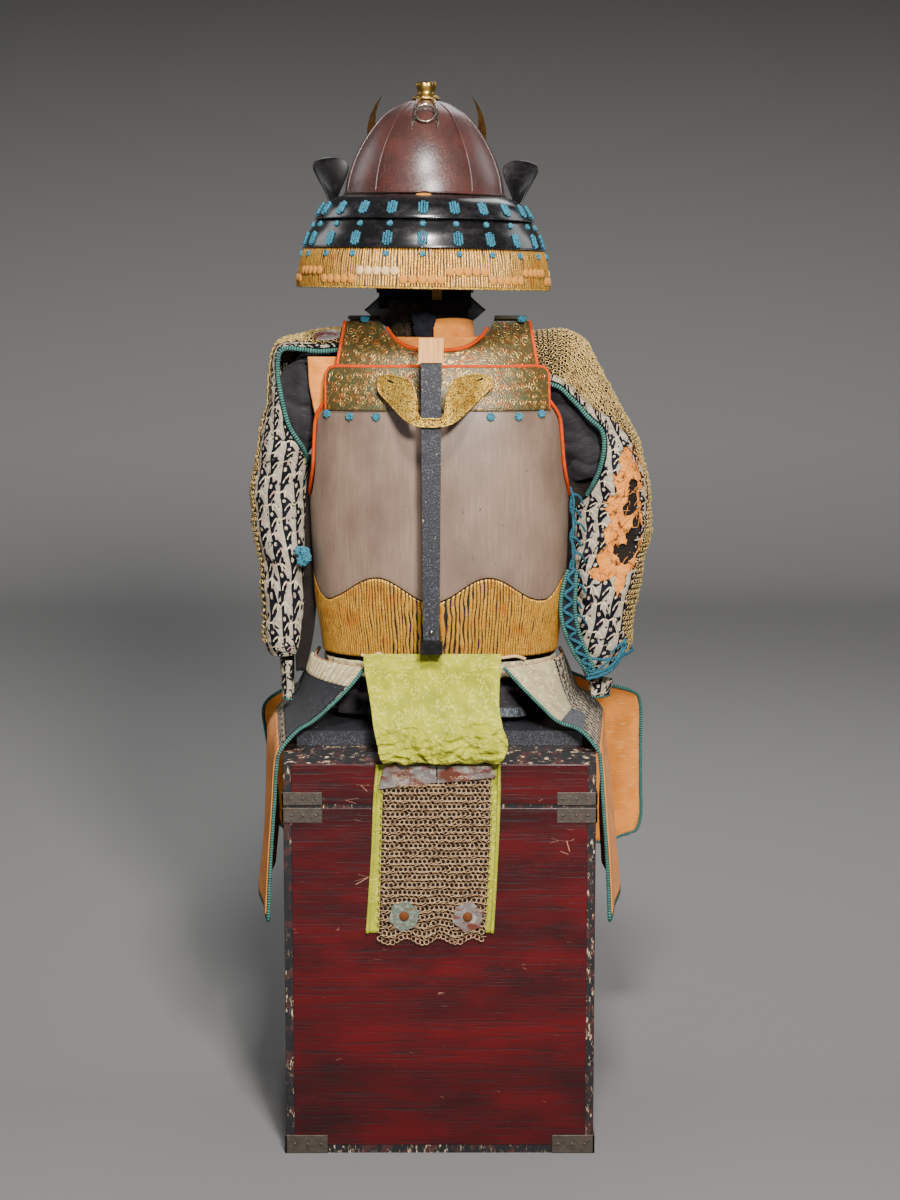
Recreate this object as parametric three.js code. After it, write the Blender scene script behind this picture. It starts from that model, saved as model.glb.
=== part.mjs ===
// Samurai armour seated on its storage chest. Millimetres, +Z up.
// The origin is the middle of the chest's underside; the back of the armour faces -Y.
import * as THREE from 'three';

// Driving sizes
const chest = { width: 420, depth: 400, bodyTop: 488, lidTop: 562, board: 12, gap: 0.5 };
const stand = { baseTop: 583, baseWidth: 388, baseDepth: 320, postWide: 14, postDeep: 28, postX: -4,
  postTop: 1428 };
const torso = { power: 2.5, wall: 2.4, bottom: 675, waveLevel: 769, waveHeight: 17, waveLength: 152,
  plateTop: 1025 };
const helmet = { x: -21, base: 1304, roll: 0.9, deeper: 1.06, wall: 2, lameWall: 1.6, lameTurn: 112 };
const cloth = { sleeve: 2.5, mail: 2, under: 2, panel: 3, apron: 2.5, band: 2.5, lining: 2 };
const seam = 0.5;
const neckMiddle = -3.5;

const rad = THREE.MathUtils.degToRad;
const lerp = THREE.MathUtils.lerp;
const range = (count, from = 0, to = 1) => Array.from({ length: count + 1 },
  (_, i) => lerp(from, to, i / count));

// Finishes
const finish = (color, roughness,
  metalness = 0) => new THREE.MeshStandardMaterial({ color, roughness, metalness });
const finishes = {
  redLacquer: finish('#5a1a1c', 0.35),
  blackWood: finish('#22242a', 0.5),
  tanWood: finish('#c08a50', 0.7),
  russetIron: finish('#54302a', 0.35, 0.3),
  blackLacquer: finish('#1c1b1e', 0.25),
  goldBark: finish('#b08c48', 0.5),
  brass: finish('#a8853c', 0.35, 1),
  taupeLacquer: finish('#77675f', 0.5),
  embossedLeather: finish('#6b6440', 0.4),
  orangeCord: finish('#c8512a', 0.5),
  navyBrocade: finish('#23283c', 0.85),
  mail: finish('#a8946a', 0.5, 0.6),
  greenBraid: finish('#2f6a64', 0.8),
  charcoalCotton: finish('#35323a', 0.9),
  tanLinen: finish('#c98d58', 0.9),
  creamSilk: finish('#b9b295', 0.7),
  greenDamask: finish('#8f9a35', 0.7),
  rustyMail: finish('#7d6c55', 0.6, 0.5),
  rustyIron: finish('#7f7671', 0.6, 0.7),
  blueCord: finish('#2d6ea0', 0.8),
};

const armour = new THREE.Group();

function add(name, geometry, material, parent = armour) {
  const mesh = new THREE.Mesh(geometry, material);
  mesh.name = name;
  parent.add(mesh);
  return mesh;
}

// Value of one named column at a height or place between a table's rows.
function readTable(rows, key, at, column) {
  const next = rows.findIndex((row) => row[key] >= at);
  if (next === 0) return rows[0][column];
  if (next < 0) return rows[rows.length - 1][column];
  const [low, high] = [rows[next - 1], rows[next]];
  return lerp(low[column], high[column], (at - low[key]) / (high[key] - low[key]));
}

// Rows of numbers under named columns become rows of named values.
function table(columns, ...rows) {
  const names = columns.split(' ');
  return rows.map((row) => Object.fromEntries(names.map((name, i) => [name, row[i]])));
}

// Unit normals of a grid of points, from each point's neighbours along the row and across the rows.
function gridNormals(grid, ring) {
  const cols = grid[0].length;
  const beside = (j) => (ring ? (j + cols) % cols : THREE.MathUtils.clamp(j, 0, cols - 1));
  return grid.map((row, i) => row.map((_, j) => {
    const along = row[beside(j + 1)].clone().sub(row[beside(j - 1)]);
    const above = grid[Math.min(i + 1, grid.length - 1)][j];
    const below = grid[Math.max(i - 1, 0)][j];
    return along.cross(above.clone().sub(below)).normalize();
  }));
}

// The same grid moved out along its normals.
function movedOut(grid, distance, ring = false) {
  const normals = gridNormals(grid, ring);
  return grid.map((row, i) => row.map((point, j) => point.clone().addScaledVector(normals[i][j], distance)));
}

// A closed wall of even thickness with its middle on a grid of points.
function wall(grid, thickness, ring = false) {
  const rows = grid.length;
  const cols = grid[0].length;
  const faces = [movedOut(grid, thickness / 2, ring), movedOut(grid, -thickness / 2, ring)];
  const positions = faces.flat(2).flatMap((point) => point.toArray());
  const at = (side, i, j) => (side * rows + i) * cols + (j % cols);
  const index = [];
  const quad = (a, b, c, d) => index.push(a, b, c, a, c, d);
  const across = ring ? cols : cols - 1;
  for (let j = 0; j < across; j++) {
    for (let i = 0; i < rows - 1; i++) {
      quad(at(0, i, j), at(0, i, j + 1), at(0, i + 1, j + 1), at(0, i + 1, j));
      quad(at(1, i, j), at(1, i + 1, j), at(1, i + 1, j + 1), at(1, i, j + 1));
    }
    quad(at(0, 0, j), at(1, 0, j), at(1, 0, j + 1), at(0, 0, j + 1));
    quad(at(0, rows - 1, j), at(0, rows - 1, j + 1), at(1, rows - 1, j + 1), at(1, rows - 1, j));
  }
  for (let i = 0; i < rows - 1 && !ring; i++) {
    const last = cols - 1;
    quad(at(0, i, 0), at(0, i + 1, 0), at(1, i + 1, 0), at(1, i, 0));
    quad(at(0, i, last), at(1, i, last), at(1, i + 1, last), at(0, i + 1, last));
  }
  const geometry = new THREE.BufferGeometry();
  geometry.setAttribute('position', new THREE.Float32BufferAttribute(positions, 3));
  geometry.setIndex(index);
  return geometry;
}

// A round cord along a smooth curve through the points.
function cord(points, radius, sides, steps) {
  const outline = new THREE.Shape(range(sides).slice(0, -1).map((turn) => {
    const angle = turn * 2 * Math.PI;
    return new THREE.Vector2(radius * Math.cos(angle), radius * Math.sin(angle));
  }));
  const path = new THREE.CatmullRomCurve3(points, false, 'centripetal');
  return new THREE.ExtrudeGeometry(outline, { steps, bevelEnabled: false, extrudePath: path });
}

// An outline in X and Z pushed through from one Y to another.
function slab(points, fromY, toY) {
  const shape = new THREE.Shape(points.map(([x, z]) => new THREE.Vector2(x, z)));
  const geometry = new THREE.ExtrudeGeometry(shape,
    { depth: toY - fromY, bevelEnabled: false, curveSegments: 8 });
  geometry.rotateX(Math.PI / 2);
  return geometry.translate(0, toY, 0);
}

function box(low, high) {
  const size = high.map((value, i) => value - low[i]);
  const geometry = new THREE.BoxGeometry(...size);
  return geometry.translate(...low.map((value, i) => value + size[i] / 2));
}

// ---- chest and stand ----

// A box open on one face: four walls and an end board, wound as one closed body.
function openBox(halfX, halfY, closedZ, openZ, board) {
  const innerZ = closedZ + Math.sign(openZ - closedZ) * board;
  const ring = (inset, z) => [[-1, -1], [1, -1], [1, 1], [-1, 1]].map(([sx, sy]) => (
    new THREE.Vector3(sx * (halfX - inset), sy * (halfY - inset), z)));
  const loops = [ring(0, closedZ), ring(0, openZ), ring(board, openZ), ring(board, innerZ)];
  const index = [0, 2, 1, 0, 3, 2, 12, 13, 14, 12, 14, 15];
  for (let loop = 0; loop < 3; loop++) {
    for (let side = 0; side < 4; side++) {
      const [a, b] = [loop * 4 + side, loop * 4 + (side + 1) % 4];
      index.push(a, b, b + 4, a, b + 4, a + 4);
    }
  }
  if (openZ < closedZ) index.reverse();
  const geometry = new THREE.BufferGeometry();
  geometry.setAttribute('position', new THREE.Float32BufferAttribute(loops.flat()
    .flatMap((p) => p.toArray()), 3));
  return geometry.setIndex(index);
}

add('chest_body', openBox(chest.width / 2, chest.depth / 2, 0, chest.bodyTop, chest.board),
  finishes.redLacquer);
add('chest_lid', openBox(chest.width / 2, chest.depth / 2, chest.lidTop, chest.bodyTop + chest.gap,
  chest.board),
  finishes.redLacquer);
add('stand_base', box([-stand.baseWidth / 2, -stand.baseDepth / 2, chest.lidTop + seam],
  [stand.baseWidth / 2, stand.baseDepth / 2, stand.baseTop]), finishes.blackWood);
add('stand_post', box([stand.postX - stand.postWide / 2, -stand.postDeep / 2, stand.baseTop + seam],
  [stand.postX + stand.postWide / 2, stand.postDeep / 2, stand.postTop]), finishes.tanWood);

// Shoulder board: dips under the neck and carries a shoulder strap on each raised end.
const shoulderBoard = { half: 126, neck: 82, dip: 74, top: 1126, low: 1046, dipTop: 1072, tipDeep: 22,
  thick: 20 };
function shoulderBoardOutline({ half, neck, dip, top, low, dipTop, tipDeep }) {
  const right = [[dip, dipTop], [neck, top], [half, top], [half, top - tipDeep],
    [neck + 14, top - tipDeep - 6], [dip, low]];
  const left = right.map(([x, z]) => [-x, z]).reverse();
  return [...left, ...right].map(([x, z]) => [x + neckMiddle, z]);
}
add('stand_bar', slab(shoulderBoardOutline(shoulderBoard), stand.postDeep / 2 + seam,
  stand.postDeep / 2 + seam + shoulderBoard.thick), finishes.tanWood);

// ---- cuirass ----

const torsoRows = table('z halfWidth halfDepth forward middle',
  [600, 156, 106, 0, 0],
  [668, 164, 113, 0, 0],
  [704, 168, 116, 0, 0],
  [740, 174, 119, 0, 0],
  [800, 178, 122, 0, 0],
  [882, 181, 124, 0, -0.8],
  [950, 182, 124, 0, -2],
  [1018, 180, 119, 0, -3],
  [1050, 176, 112, 3, -3.5],
  [1075, 172, 104, 6, -3.5],
  [1100, 168, 97, 14, -3.5],
  [1120, 164, 88, 28, -3.5],
  [1136, 160, 82, 44, -3.5]);

const squared = (value) => Math.sign(value) * Math.abs(value) ** (2 / torso.power);

// Point of the torso's outline: angle 0 is the middle of the back, 90 degrees the wearer's right side.
function torsoPoint(angle, z, out = 0) {
  const read = (column) => readTable(torsoRows, 'z', z, column);
  const x = read('middle') + (read('halfWidth') + out) * squared(Math.sin(angle));
  const y = read('forward') - (read('halfDepth') + out) * squared(Math.cos(angle));
  return new THREE.Vector3(x, y, z);
}

// Angle of the point that stands a given distance to the side of the torso's middle.
function torsoAngle(aside, z) {
  const share = aside / readTable(torsoRows, 'z', z, 'halfWidth');
  return Math.asin(Math.sign(share) * Math.min(1, Math.abs(share)) ** (torso.power / 2));
}

// The wavy line between the plain plate and the gold hem runs on round the sides.
function waveHeight(angle) {
  const point = torsoPoint(angle, torso.waveLevel);
  const round = readTable(torsoRows, 'z', torso.waveLevel, 'halfDepth') - Math.abs(point.y);
  const along = point.x + Math.sign(point.x) * Math.max(0, round - 40) * 0.8;
  return torso.waveLevel - torso.waveHeight * Math.cos((2 * Math.PI * (along + 10)) / torso.waveLength);
}

const sideAngle = rad(89.8);
const armhole = table('z half',
  [885, 181],
  [900, 176.5],
  [930, 171],
  [957, 168.5],
  [985, 166.5],
  [1000, 164.5],
  [1012, 159],
  [1026, 149]);

// Angle of a plate's edge at a height: the side seam, and the armhole above it.
function edgeAngle(z) {
  if (z <= armhole[0].z) return sideAngle;
  return Math.min(sideAngle, torsoAngle(readTable(armhole, 'z', z, 'half'), z));
}

// Rows of a plate between two height functions, turned by the given start angle (0 back, PI front).
function plateGrid(shares, columns, lowAt, highAt, facing) {
  return shares.map((share) => {
    const edge = edgeAngle(lerp(lowAt(sideAngle), highAt(sideAngle), share));
    return range(columns, -edge, edge).map((turn) => {
      const z = lerp(lowAt(turn), highAt(turn), share);
      const point = torsoPoint(turn, z);
      if (facing === 'front') point.y = -point.y + 2 * readTable(torsoRows, 'z', z, 'forward');
      return point;
    });
  }).map((row) => (facing === 'front' ? row.reverse() : row));
}

const plateShares = [0, 0.28, 0.52, 0.68, 0.82, 0.93, 1];
const hemShares = [0, 0.5, 1];
const plateColumns = 22;
const frontDip = (turn) => torso.plateTop - 4 - 26 * Math.max(0, Math.cos(turn * 1.6)) ** 2;
for (const facing of ['back', 'front']) {
  const top = facing === 'back' ? () => torso.plateTop : frontDip;
  const plate = plateGrid(plateShares, plateColumns, (turn) => waveHeight(turn) + seam / 2, top, facing);
  add(`${facing}_plate`, wall(plate, torso.wall), finishes.taupeLacquer);
  const hem = plateGrid(hemShares, plateColumns, () => torso.bottom, (turn) => waveHeight(turn) - seam / 2,
    facing);
  add(`${facing}_hem`, wall(hem, torso.wall), finishes.goldBark);
}

// Leather yokes on the shoulders of the back: the lower one laps over the plate and the upper one.
const yoke = { wall: 2.2, lap: 3.6, lowerBottom: 1014, lowerTop: 1073, lowerHalf: 149.5, corner: 14,
  upperBottom: 1062 };
function lowerYokeGrid() {
  const heights = [yoke.lowerBottom, 1034, 1052, yoke.lowerTop - yoke.corner, yoke.lowerTop - 5,
    yoke.lowerTop];
  return heights.map((z) => {
    const up = Math.max(0, z - (yoke.lowerTop - yoke.corner)) / yoke.corner;
    const half = yoke.lowerHalf - yoke.corner * (1 - Math.sqrt(1 - up * up));
    return range(16, -half, half).map((x) => torsoPoint(torsoAngle(x, z), z));
  });
}
add('yoke_lower', wall(movedOut(lowerYokeGrid(), yoke.lap), yoke.wall), finishes.embossedLeather);

const neckline = { half: 77, deep: 41, shoulder: 1133, edgeBottom: 138, edgeTop: 127 };
// Height of the upper yoke's top edge: a scooped neck between two level shoulders.
function necklineHeight(aside) {
  const share = Math.abs(aside) / neckline.half;
  if (share >= 1) return neckline.shoulder;
  return neckline.shoulder - neckline.deep * (1 - share ** 3.2) ** 0.8;
}
function upperYokeGrid() {
  const places = [-1, -0.82, -0.605, -0.5, -0.38, -0.25, -0.12, 0, 0.12, 0.25, 0.38, 0.5, 0.605, 0.82, 1];
  return [0, 0.25, 0.5, 0.75, 0.9, 1].map((share) => places.map((place) => {
    const edge = lerp(neckline.edgeBottom, neckline.edgeTop, share);
    const z = lerp(yoke.upperBottom, necklineHeight(place * neckline.edgeTop), share);
    return torsoPoint(torsoAngle(place * edge, z), z);
  }));
}
add('yoke_upper', wall(upperYokeGrid(), yoke.wall), finishes.embossedLeather);

// Shoulder straps from the yoke's top over the shoulder to the breast.
const strapPath = table('y z', [-36, 1136], [-14, 1138], [14, 1137], [40, 1130], [64, 1114], [86, 1090],
  [104, 1062], [117, 1036]);
const strap = { inner: 80, outer: 124, wall: 3, gap: 1.2 };
for (const [side, name] of [[-1, 'left'], [1, 'right']]) {
  const edges = [side * strap.inner, side * strap.outer].sort((a, b) => a - b);
  const grid = strapPath.map(({ y, z }) => range(2, ...edges).map((x) => (
    new THREE.Vector3(neckMiddle + x, y + 12, z + strap.gap))));
  add(`shoulder_strap_${name}`, wall(grid, strap.wall), finishes.embossedLeather);
}

// Orange rolled piping round the armholes and the neck, just clear of the plates' edges.
const piping = { radius: 3, clear: 3.6 };
function armholePoints(side) {
  const back = armhole.slice(1).map(({ z }) => {
    const half = readTable(armhole, 'z', z, 'half') + piping.clear;
    return torsoPoint(torsoAngle(Math.min(half, 181.4), z + 1), z + 1);
  }).reverse();
  const front = back.slice().reverse().map((p) => new THREE.Vector3(p.x, -p.y, p.z));
  const low = torsoPoint(Math.PI / 2, armhole[0].z + piping.clear + 1);
  return [...back, low, ...front].map((p) => {
    const middle = readTable(torsoRows, 'z', p.z, 'middle');
    return new THREE.Vector3(middle + side * (p.x - middle), p.y, p.z);
  });
}
add('armhole_piping_left', cord(armholePoints(-1), piping.radius, 6, 28), finishes.orangeCord);
add('armhole_piping_right', cord(armholePoints(1), piping.radius, 6, 28), finishes.orangeCord);
const neckPlaces = [-0.93, -0.8, -0.62, -0.4, -0.2, 0, 0.2, 0.4, 0.62, 0.8, 0.93];
add('neck_piping', cord(neckPlaces.map((place) => {
  const z = Math.min(1134, necklineHeight(place * neckline.half) + piping.clear + 0.8);
  return torsoPoint(torsoAngle(place * (neckline.half - 6), z), z);
}), piping.radius, 6, 20), finishes.orangeCord);

// ---- banner socket on the back ----

const pole = { x: -11, y: -155, top: 1080, bottom: 708, wideTop: 29, wideBottom: 23, wall: 4.5,
  capWide: 33, capTop: 1113 };
const squareLoop = (half, z) => [[-1, -1], [1, -1], [1, 1], [-1, 1]].map(([sx, sy]) => (
  new THREE.Vector3(pole.x + sx * half, pole.y + sy * half, z)));
function poleTube() {
  const inset = pole.wall / 2;
  return wall([squareLoop(pole.wideBottom / 2 - inset, pole.bottom),
    squareLoop(pole.wideTop / 2 - inset, pole.top)],
    pole.wall, true);
}
add('pole_tube', poleTube(), finishes.blackWood);
add('pole_cap', box([pole.x - pole.capWide / 2, pole.y - pole.capWide / 2, pole.top + seam],
  [pole.x + pole.capWide / 2, pole.y + pole.capWide / 2, pole.capTop]), finishes.tanWood);

// Winged bracket: its middle band passes round the tube and its wings curve back to lie against the yoke.
const bracketRows = table('x top bottom', [-83, 1053, 1046], [-80, 1060, 1038], [-70, 1063, 1028],
  [-58, 1062, 1016], [-46, 1059, 1005], [-37, 1054, 1000], [-31, 1036, 998], [-27, 1009, 997],
  [-11, 1007, 996], [5, 1009, 997], [10, 1036, 998], [16, 1054, 1000], [26, 1060, 1006], [40, 1063, 1018],
  [54, 1063, 1032], [66, 1060, 1042], [71, 1053, 1047]);
const bracket = { front: -173, back: -121, straight: 20, wall: 3 };
function bracketGrid() {
  return [0, 1].map((share) => bracketRows.map(({ x, top, bottom }) => {
    const away = THREE.MathUtils.smoothstep(Math.abs(x - pole.x), bracket.straight, 76);
    return new THREE.Vector3(x, lerp(bracket.front, bracket.back, away), lerp(bottom, top, share));
  }));
}
add('pole_bracket', wall(bracketGrid(), bracket.wall), finishes.goldBark);
// Foot socket at the waist under the tube.
add('pole_foot', box([pole.x - 15, pole.y - 14, 689],
  [pole.x + 15, -121.5, pole.bottom - seam]), finishes.blackLacquer);

// ---- helmet ----

const head = new THREE.Group();
head.position.set(helmet.x, 0, helmet.base);
head.rotation.y = rad(helmet.roll);
armour.add(head);

const bowlRows = table('z half', [0, 111], [22, 107.5], [43, 101], [62, 92.5], [81, 81], [97, 69],
  [110, 56.5], [120, 41], [126, 29], [129.5, 16]);
// Point on a ring round the helmet; turn 0 is the back.
function headPoint(half, turn, z, deeper = helmet.deeper) {
  return new THREE.Vector3(half * Math.sin(turn), -half * deeper * Math.cos(turn), z);
}
const bowl = bowlRows.map(({ z, half }) => range(28, 0, 2 * Math.PI).slice(0, -1).map((turn) => (
  headPoint(half - helmet.wall / 2, turn, z))));
add('helmet_bowl', wall(bowl, helmet.wall, true), finishes.russetIron, head);

const lameProfiles = [
  table('half z', [113.6, -1.5], [128, -7], [142, -18], [151, -34]),
  table('half z', [142.5, -26.5], [152, -41], [161, -56], [167, -73]),
  table('half z', [160.5, -67], [168, -79], [172, -100], [175, -126]),
];
lameProfiles.forEach((profile, i) => {
  const turn = rad(helmet.lameTurn);
  const rows = profile.map(({ half, z }) => range(22, -turn, turn).map((angle) => (
    headPoint(half, angle, z, lerp(helmet.deeper, 1, (i + 1) / 3)))));
  add(`neck_guard_lame_${i + 1}`, wall(rows.reverse(), helmet.lameWall),
    i < 2 ? finishes.blackLacquer : finishes.goldBark,
    head);
});

const peak = { turn: 62, reach: 52, drop: 20, wall: 2, clear: 1.6 };
const peakGrid = [0, 0.5, 1].map((share) => range(14, -rad(peak.turn), rad(peak.turn)).map((angle) => {
  const reach = share * peak.reach * Math.cos(angle) ** 0.5;
  const half = 111 + peak.clear + reach;
  return headPoint(half, Math.PI - angle, -2 - share * peak.drop * Math.cos(angle));
}));
add('helmet_peak', wall(peakGrid, peak.wall), finishes.russetIron, head);

// Turned-back ends of the top lame, like ears.
const earRows = table('z inner outer', [-9, 127, 134], [8, 121, 140], [24, 115, 148], [38, 111, 155],
  [46, 111, 157], [50, 114, 150]);
for (const [side, name] of [[-1, 'left'], [1, 'right']]) {
  const grid = earRows.map(({ z, inner, outer }) => range(4, inner, outer).map((x) => {
    const out = (x - inner) / (outer - inner);
    return new THREE.Vector3(side * x, 74 - 6 * out - 26 * out * out, z);
  }));
  add(`helmet_ear_${name}`, wall(grid.map((row) =>
    (side < 0 ? row.reverse() : row)), 2), finishes.blackLacquer, head);
}

// Crescent crest standing in a small socket on the front of the bowl.
const crest = { radius: 86, centre: 91, tip: 149, innerRadius: 74, y: 129, thick: 2 };
function crescentOutline({ radius, centre, tip, innerRadius }) {
  const tipAngle = Math.asin((tip - centre) / radius);
  const tipX = radius * Math.cos(tipAngle);
  const innerCentre = tip - Math.sqrt(innerRadius ** 2 - tipX ** 2);
  const innerAngle = Math.asin((tip - innerCentre) / innerRadius);
  const arc = (r, c, from, to) => range(22, from, to).map((t) => [r * Math.cos(t), c + r * Math.sin(t)]);
  const outer = arc(radius, centre, Math.PI - tipAngle, 2 * Math.PI + tipAngle);
  const inner = arc(innerRadius, innerCentre, innerAngle, -Math.PI - innerAngle);
  return [...outer, ...inner.slice(1, -1)];
}
add('crest_crescent', slab(crescentOutline(crest), crest.y, crest.y + crest.thick), finishes.brass, head);
add('crest_socket', box([-9, crest.y - 7.5, 2], [9, crest.y - seam, 30]), finishes.brass, head);

const finialProfile = [[12, 132.4], [19.5, 130.8], [20, 132.6], [17, 135.6], [11.4, 139.4], [12.2, 143],
  [14.4, 148], [14.6, 152.5], [13.2, 155.5], [11.4, 155], [12.2, 148.5], [9.2, 142], [9.2, 133.4]];
function finialGeometry() {
  const outline = [...finialProfile, finialProfile[0]].map(([r, z]) => new THREE.Vector2(r, z));
  return new THREE.LatheGeometry(outline, 16).rotateX(Math.PI / 2);
}
add('finial', finialGeometry(), finishes.brass, head);

// Ring hanging from a pierced stud on the back of the bowl; it swings on the stud's eye.
const ring = { eyeY: -63.5, eyeZ: 119.5, radius: 13.8, wire: 1.7, lean: 33, eye: 2.7, studHalf: 1.8,
  studLean: 40, stem: 7.4 };
function ringGeometry() {
  const torus = new THREE.TorusGeometry(ring.radius, ring.wire, 6, 20);
  torus.rotateX(Math.PI / 2).translate(0, 0, -ring.radius);
  return torus.rotateX(-rad(ring.lean)).translate(0, ring.eyeY, ring.eyeZ);
}
add('back_ring', ringGeometry(), finishes.brass, head);
function studGeometry() {
  const plate = new THREE.Shape();
  plate.absarc(0, 0, 4.6, rad(-20), rad(200), false);
  plate.lineTo(-2.2, -ring.stem);
  plate.lineTo(2.2, -ring.stem);
  const eye = new THREE.Path();
  eye.absarc(0, 0, ring.eye, 0, 2 * Math.PI, true);
  plate.holes.push(eye);
  const geometry = new THREE.ExtrudeGeometry(plate,
    { depth: 2 * ring.studHalf, bevelEnabled: false, curveSegments: 8 });
  geometry.translate(0, 0, -ring.studHalf).rotateX(Math.PI / 2).rotateZ(Math.PI / 2)
    .rotateX(rad(ring.studLean));
  return geometry.translate(0, ring.eyeY, ring.eyeZ);
}
add('ring_stud', studGeometry(), finishes.brass, head);

// Chin guard and throat guard in front of the neck, open at the back.
const chinRows = table('z half deep turn', [1172, 66, 78, 92], [1192, 70, 88, 90], [1212, 72, 96, 86],
  [1232, 73, 98, 78], [1250, 73, 96, 70]);
const throatRows = table('rise half deep', [0, 84, 100], [0.4, 75, 92], [0.8, 66, 84], [1, 63, 80]);
const throat = { turn: 88, top: 1168, sideBottom: 1148, drop: 44 };
const facePoint = (half, deep, angle, z) => (
  new THREE.Vector3(helmet.x - half * Math.sin(angle), 10 + deep * Math.cos(angle), z));
add('chin_guard', wall(chinRows.map(({ z, half, deep, turn }) => range(12, -rad(turn),
  rad(turn)).map((angle) => (
  facePoint(half, deep, angle, z)))), 2), finishes.blackLacquer);
add('throat_guard', wall(throatRows.map(({ rise, half, deep }) => range(12, -rad(throat.turn),
  rad(throat.turn)).map((angle) => (
  facePoint(half, deep, angle, lerp(throat.sideBottom - throat.drop * Math.cos(angle) ** 2, throat.top,
    rise))))), 2),
finishes.blackLacquer);

// ---- neck ----

const neckRing = (half, deep, z, turns, y = -4, x = neckMiddle) => turns.map((turn) => (
  new THREE.Vector3(x + half * Math.sin(turn), y - deep * Math.cos(turn), z)));
const wholeTurn = range(28, 0, 2 * Math.PI).slice(0, -1);
const lining = [[66, 62, 1078], [68, 60, 1096], [72, 60, 1112]];
add('neck_lining', wall(lining.map(([half, deep, z]) => neckRing(half, deep, z, wholeTurn)), cloth.lining,
  true),
  finishes.tanLinen);
const collarTurn = range(14, rad(-150), rad(70));
const collarRows = [[52, 44, 1098], [53, 45, 1122], [55, 46, 1146], [57, 48, 1162]];
add('neck_collar', wall(collarRows.map(([half, deep, z]) => neckRing(half, deep, z, collarTurn, 0,
  helmet.x + 8)), cloth.lining),
  finishes.navyBrocade);

// ---- sleeves ----

// Each row: the sleeve's outer line, its edge towards the back and towards the front, how far round each goes
// in degrees, half its depth, and its middle in Y. Rows run from the neck over the shoulder to the cuff.
const sleeveColumns = 'x z backX backZ backTurn frontX frontZ frontTurn deep y';
const sleeves = {
  left: table(sleeveColumns,
    [-135, 1122, -139, 1099, 62, -139, 1082, 80, 47, 0],
    [-167, 1119, -168, 1097, 62, -168, 1076, 84, 49, 0],
    [-196, 1112, -196, 1099, 52, -188, 1070, 90, 51, 0],
    [-220, 1106, -216, 1098, 42, -200, 1062, 92, 52, 0],
    [-231, 1092, -225, 1087, 38, -204, 1054, 94, 53, 0],
    [-235, 1065, -227, 1062, 36, -205, 1042, 96, 53, 0],
    [-239, 1042, -225, 1042, 48, -204, 1026, 98, 53, 1],
    [-243, 1018, -221, 1018, 60, -204, 1006, 100, 53, 2],
    [-249, 986, -213, 988, 78, -204, 978, 104, 52, 3],
    [-254, 958, -196, 960, 108, -203, 952, 112, 51, 4],
    [-258, 928, -187, 938, 150, -190, 926, 160, 48, 5],
    [-262, 890, -188, 896, 170, -188, 890, 172, 46, 6],
    [-263, 856, -189, 858, 172, -189, 856, 172, 45, 7],
    [-256, 816, -189, 816, 172, -189, 816, 172, 44, 8],
    [-251, 772, -190, 772, 172, -190, 772, 172, 42, 9],
    [-250, 716, -192, 716, 172, -192, 716, 172, 39, 10],
    [-247, 680, -195, 680, 172, -195, 680, 172, 37, 11],
    [-240, 662, -200, 664, 172, -200, 664, 172, 33, 12]),
  right: table(sleeveColumns,
    [140, 1117, 148, 1055, 96, 144, 1078, 84, 52, 0],
    [168, 1119, 164, 1049, 100, 164, 1072, 88, 54, 0],
    [189, 1112, 178, 1037, 100, 176, 1064, 92, 56, 0],
    [203, 1102, 192, 1023, 98, 186, 1056, 94, 58, 0],
    [213, 1083, 203, 1010, 92, 194, 1046, 96, 58, 0],
    [224, 1058, 214, 1000, 86, 200, 1034, 98, 58, 0],
    [241, 1030, 224, 991, 76, 206, 1016, 100, 58, 1],
    [260, 996, 231, 974, 72, 214, 990, 104, 57, 2],
    [277, 961, 231, 950, 84, 220, 958, 108, 57, 3],
    [288, 928, 224, 922, 108, 222, 926, 114, 55, 4],
    [292, 895, 209, 892, 136, 212, 895, 130, 53, 5],
    [294, 862, 189, 868, 168, 190, 862, 172, 50, 6],
    [293, 826, 188, 826, 172, 188, 826, 172, 48, 7],
    [285, 784, 188, 784, 172, 188, 784, 172, 46, 8],
    [275, 740, 188, 740, 172, 188, 740, 172, 44, 9],
    [268, 698, 189, 698, 172, 189, 698, 172, 41, 10],
    [262, 666, 194, 666, 172, 194, 666, 172, 37, 11],
    [252, 645, 208, 629, 172, 204, 650, 172, 32, 12]),
};

// Point of a sleeve's section; turn runs from the back edge (1) over the outer line (0) to the front (-1).
function sleevePoint(row, turn) {
  const back = turn > 0;
  const full = rad(back ? row.backTurn : row.frontTurn);
  const angle = Math.abs(turn) * full;
  const share = (1 - Math.cos(angle)) / (1 - Math.cos(full));
  const x = lerp(row.x, back ? row.backX : row.frontX, share);
  const z = lerp(row.z, back ? row.backZ : row.frontZ, share);
  return new THREE.Vector3(x, row.y - Math.sign(turn) * row.deep * Math.sin(angle), z);
}
const turns = range(10, -1, 1);
function sleeveGrid(side, places = () => turns, rows = sleeves[side]) {
  const grid = rows.map((row, i) => places(i).map((turn) => sleevePoint(row, turn)));
  return side === 'left' ? grid.map((row) => row.reverse()) : grid;
}

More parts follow.
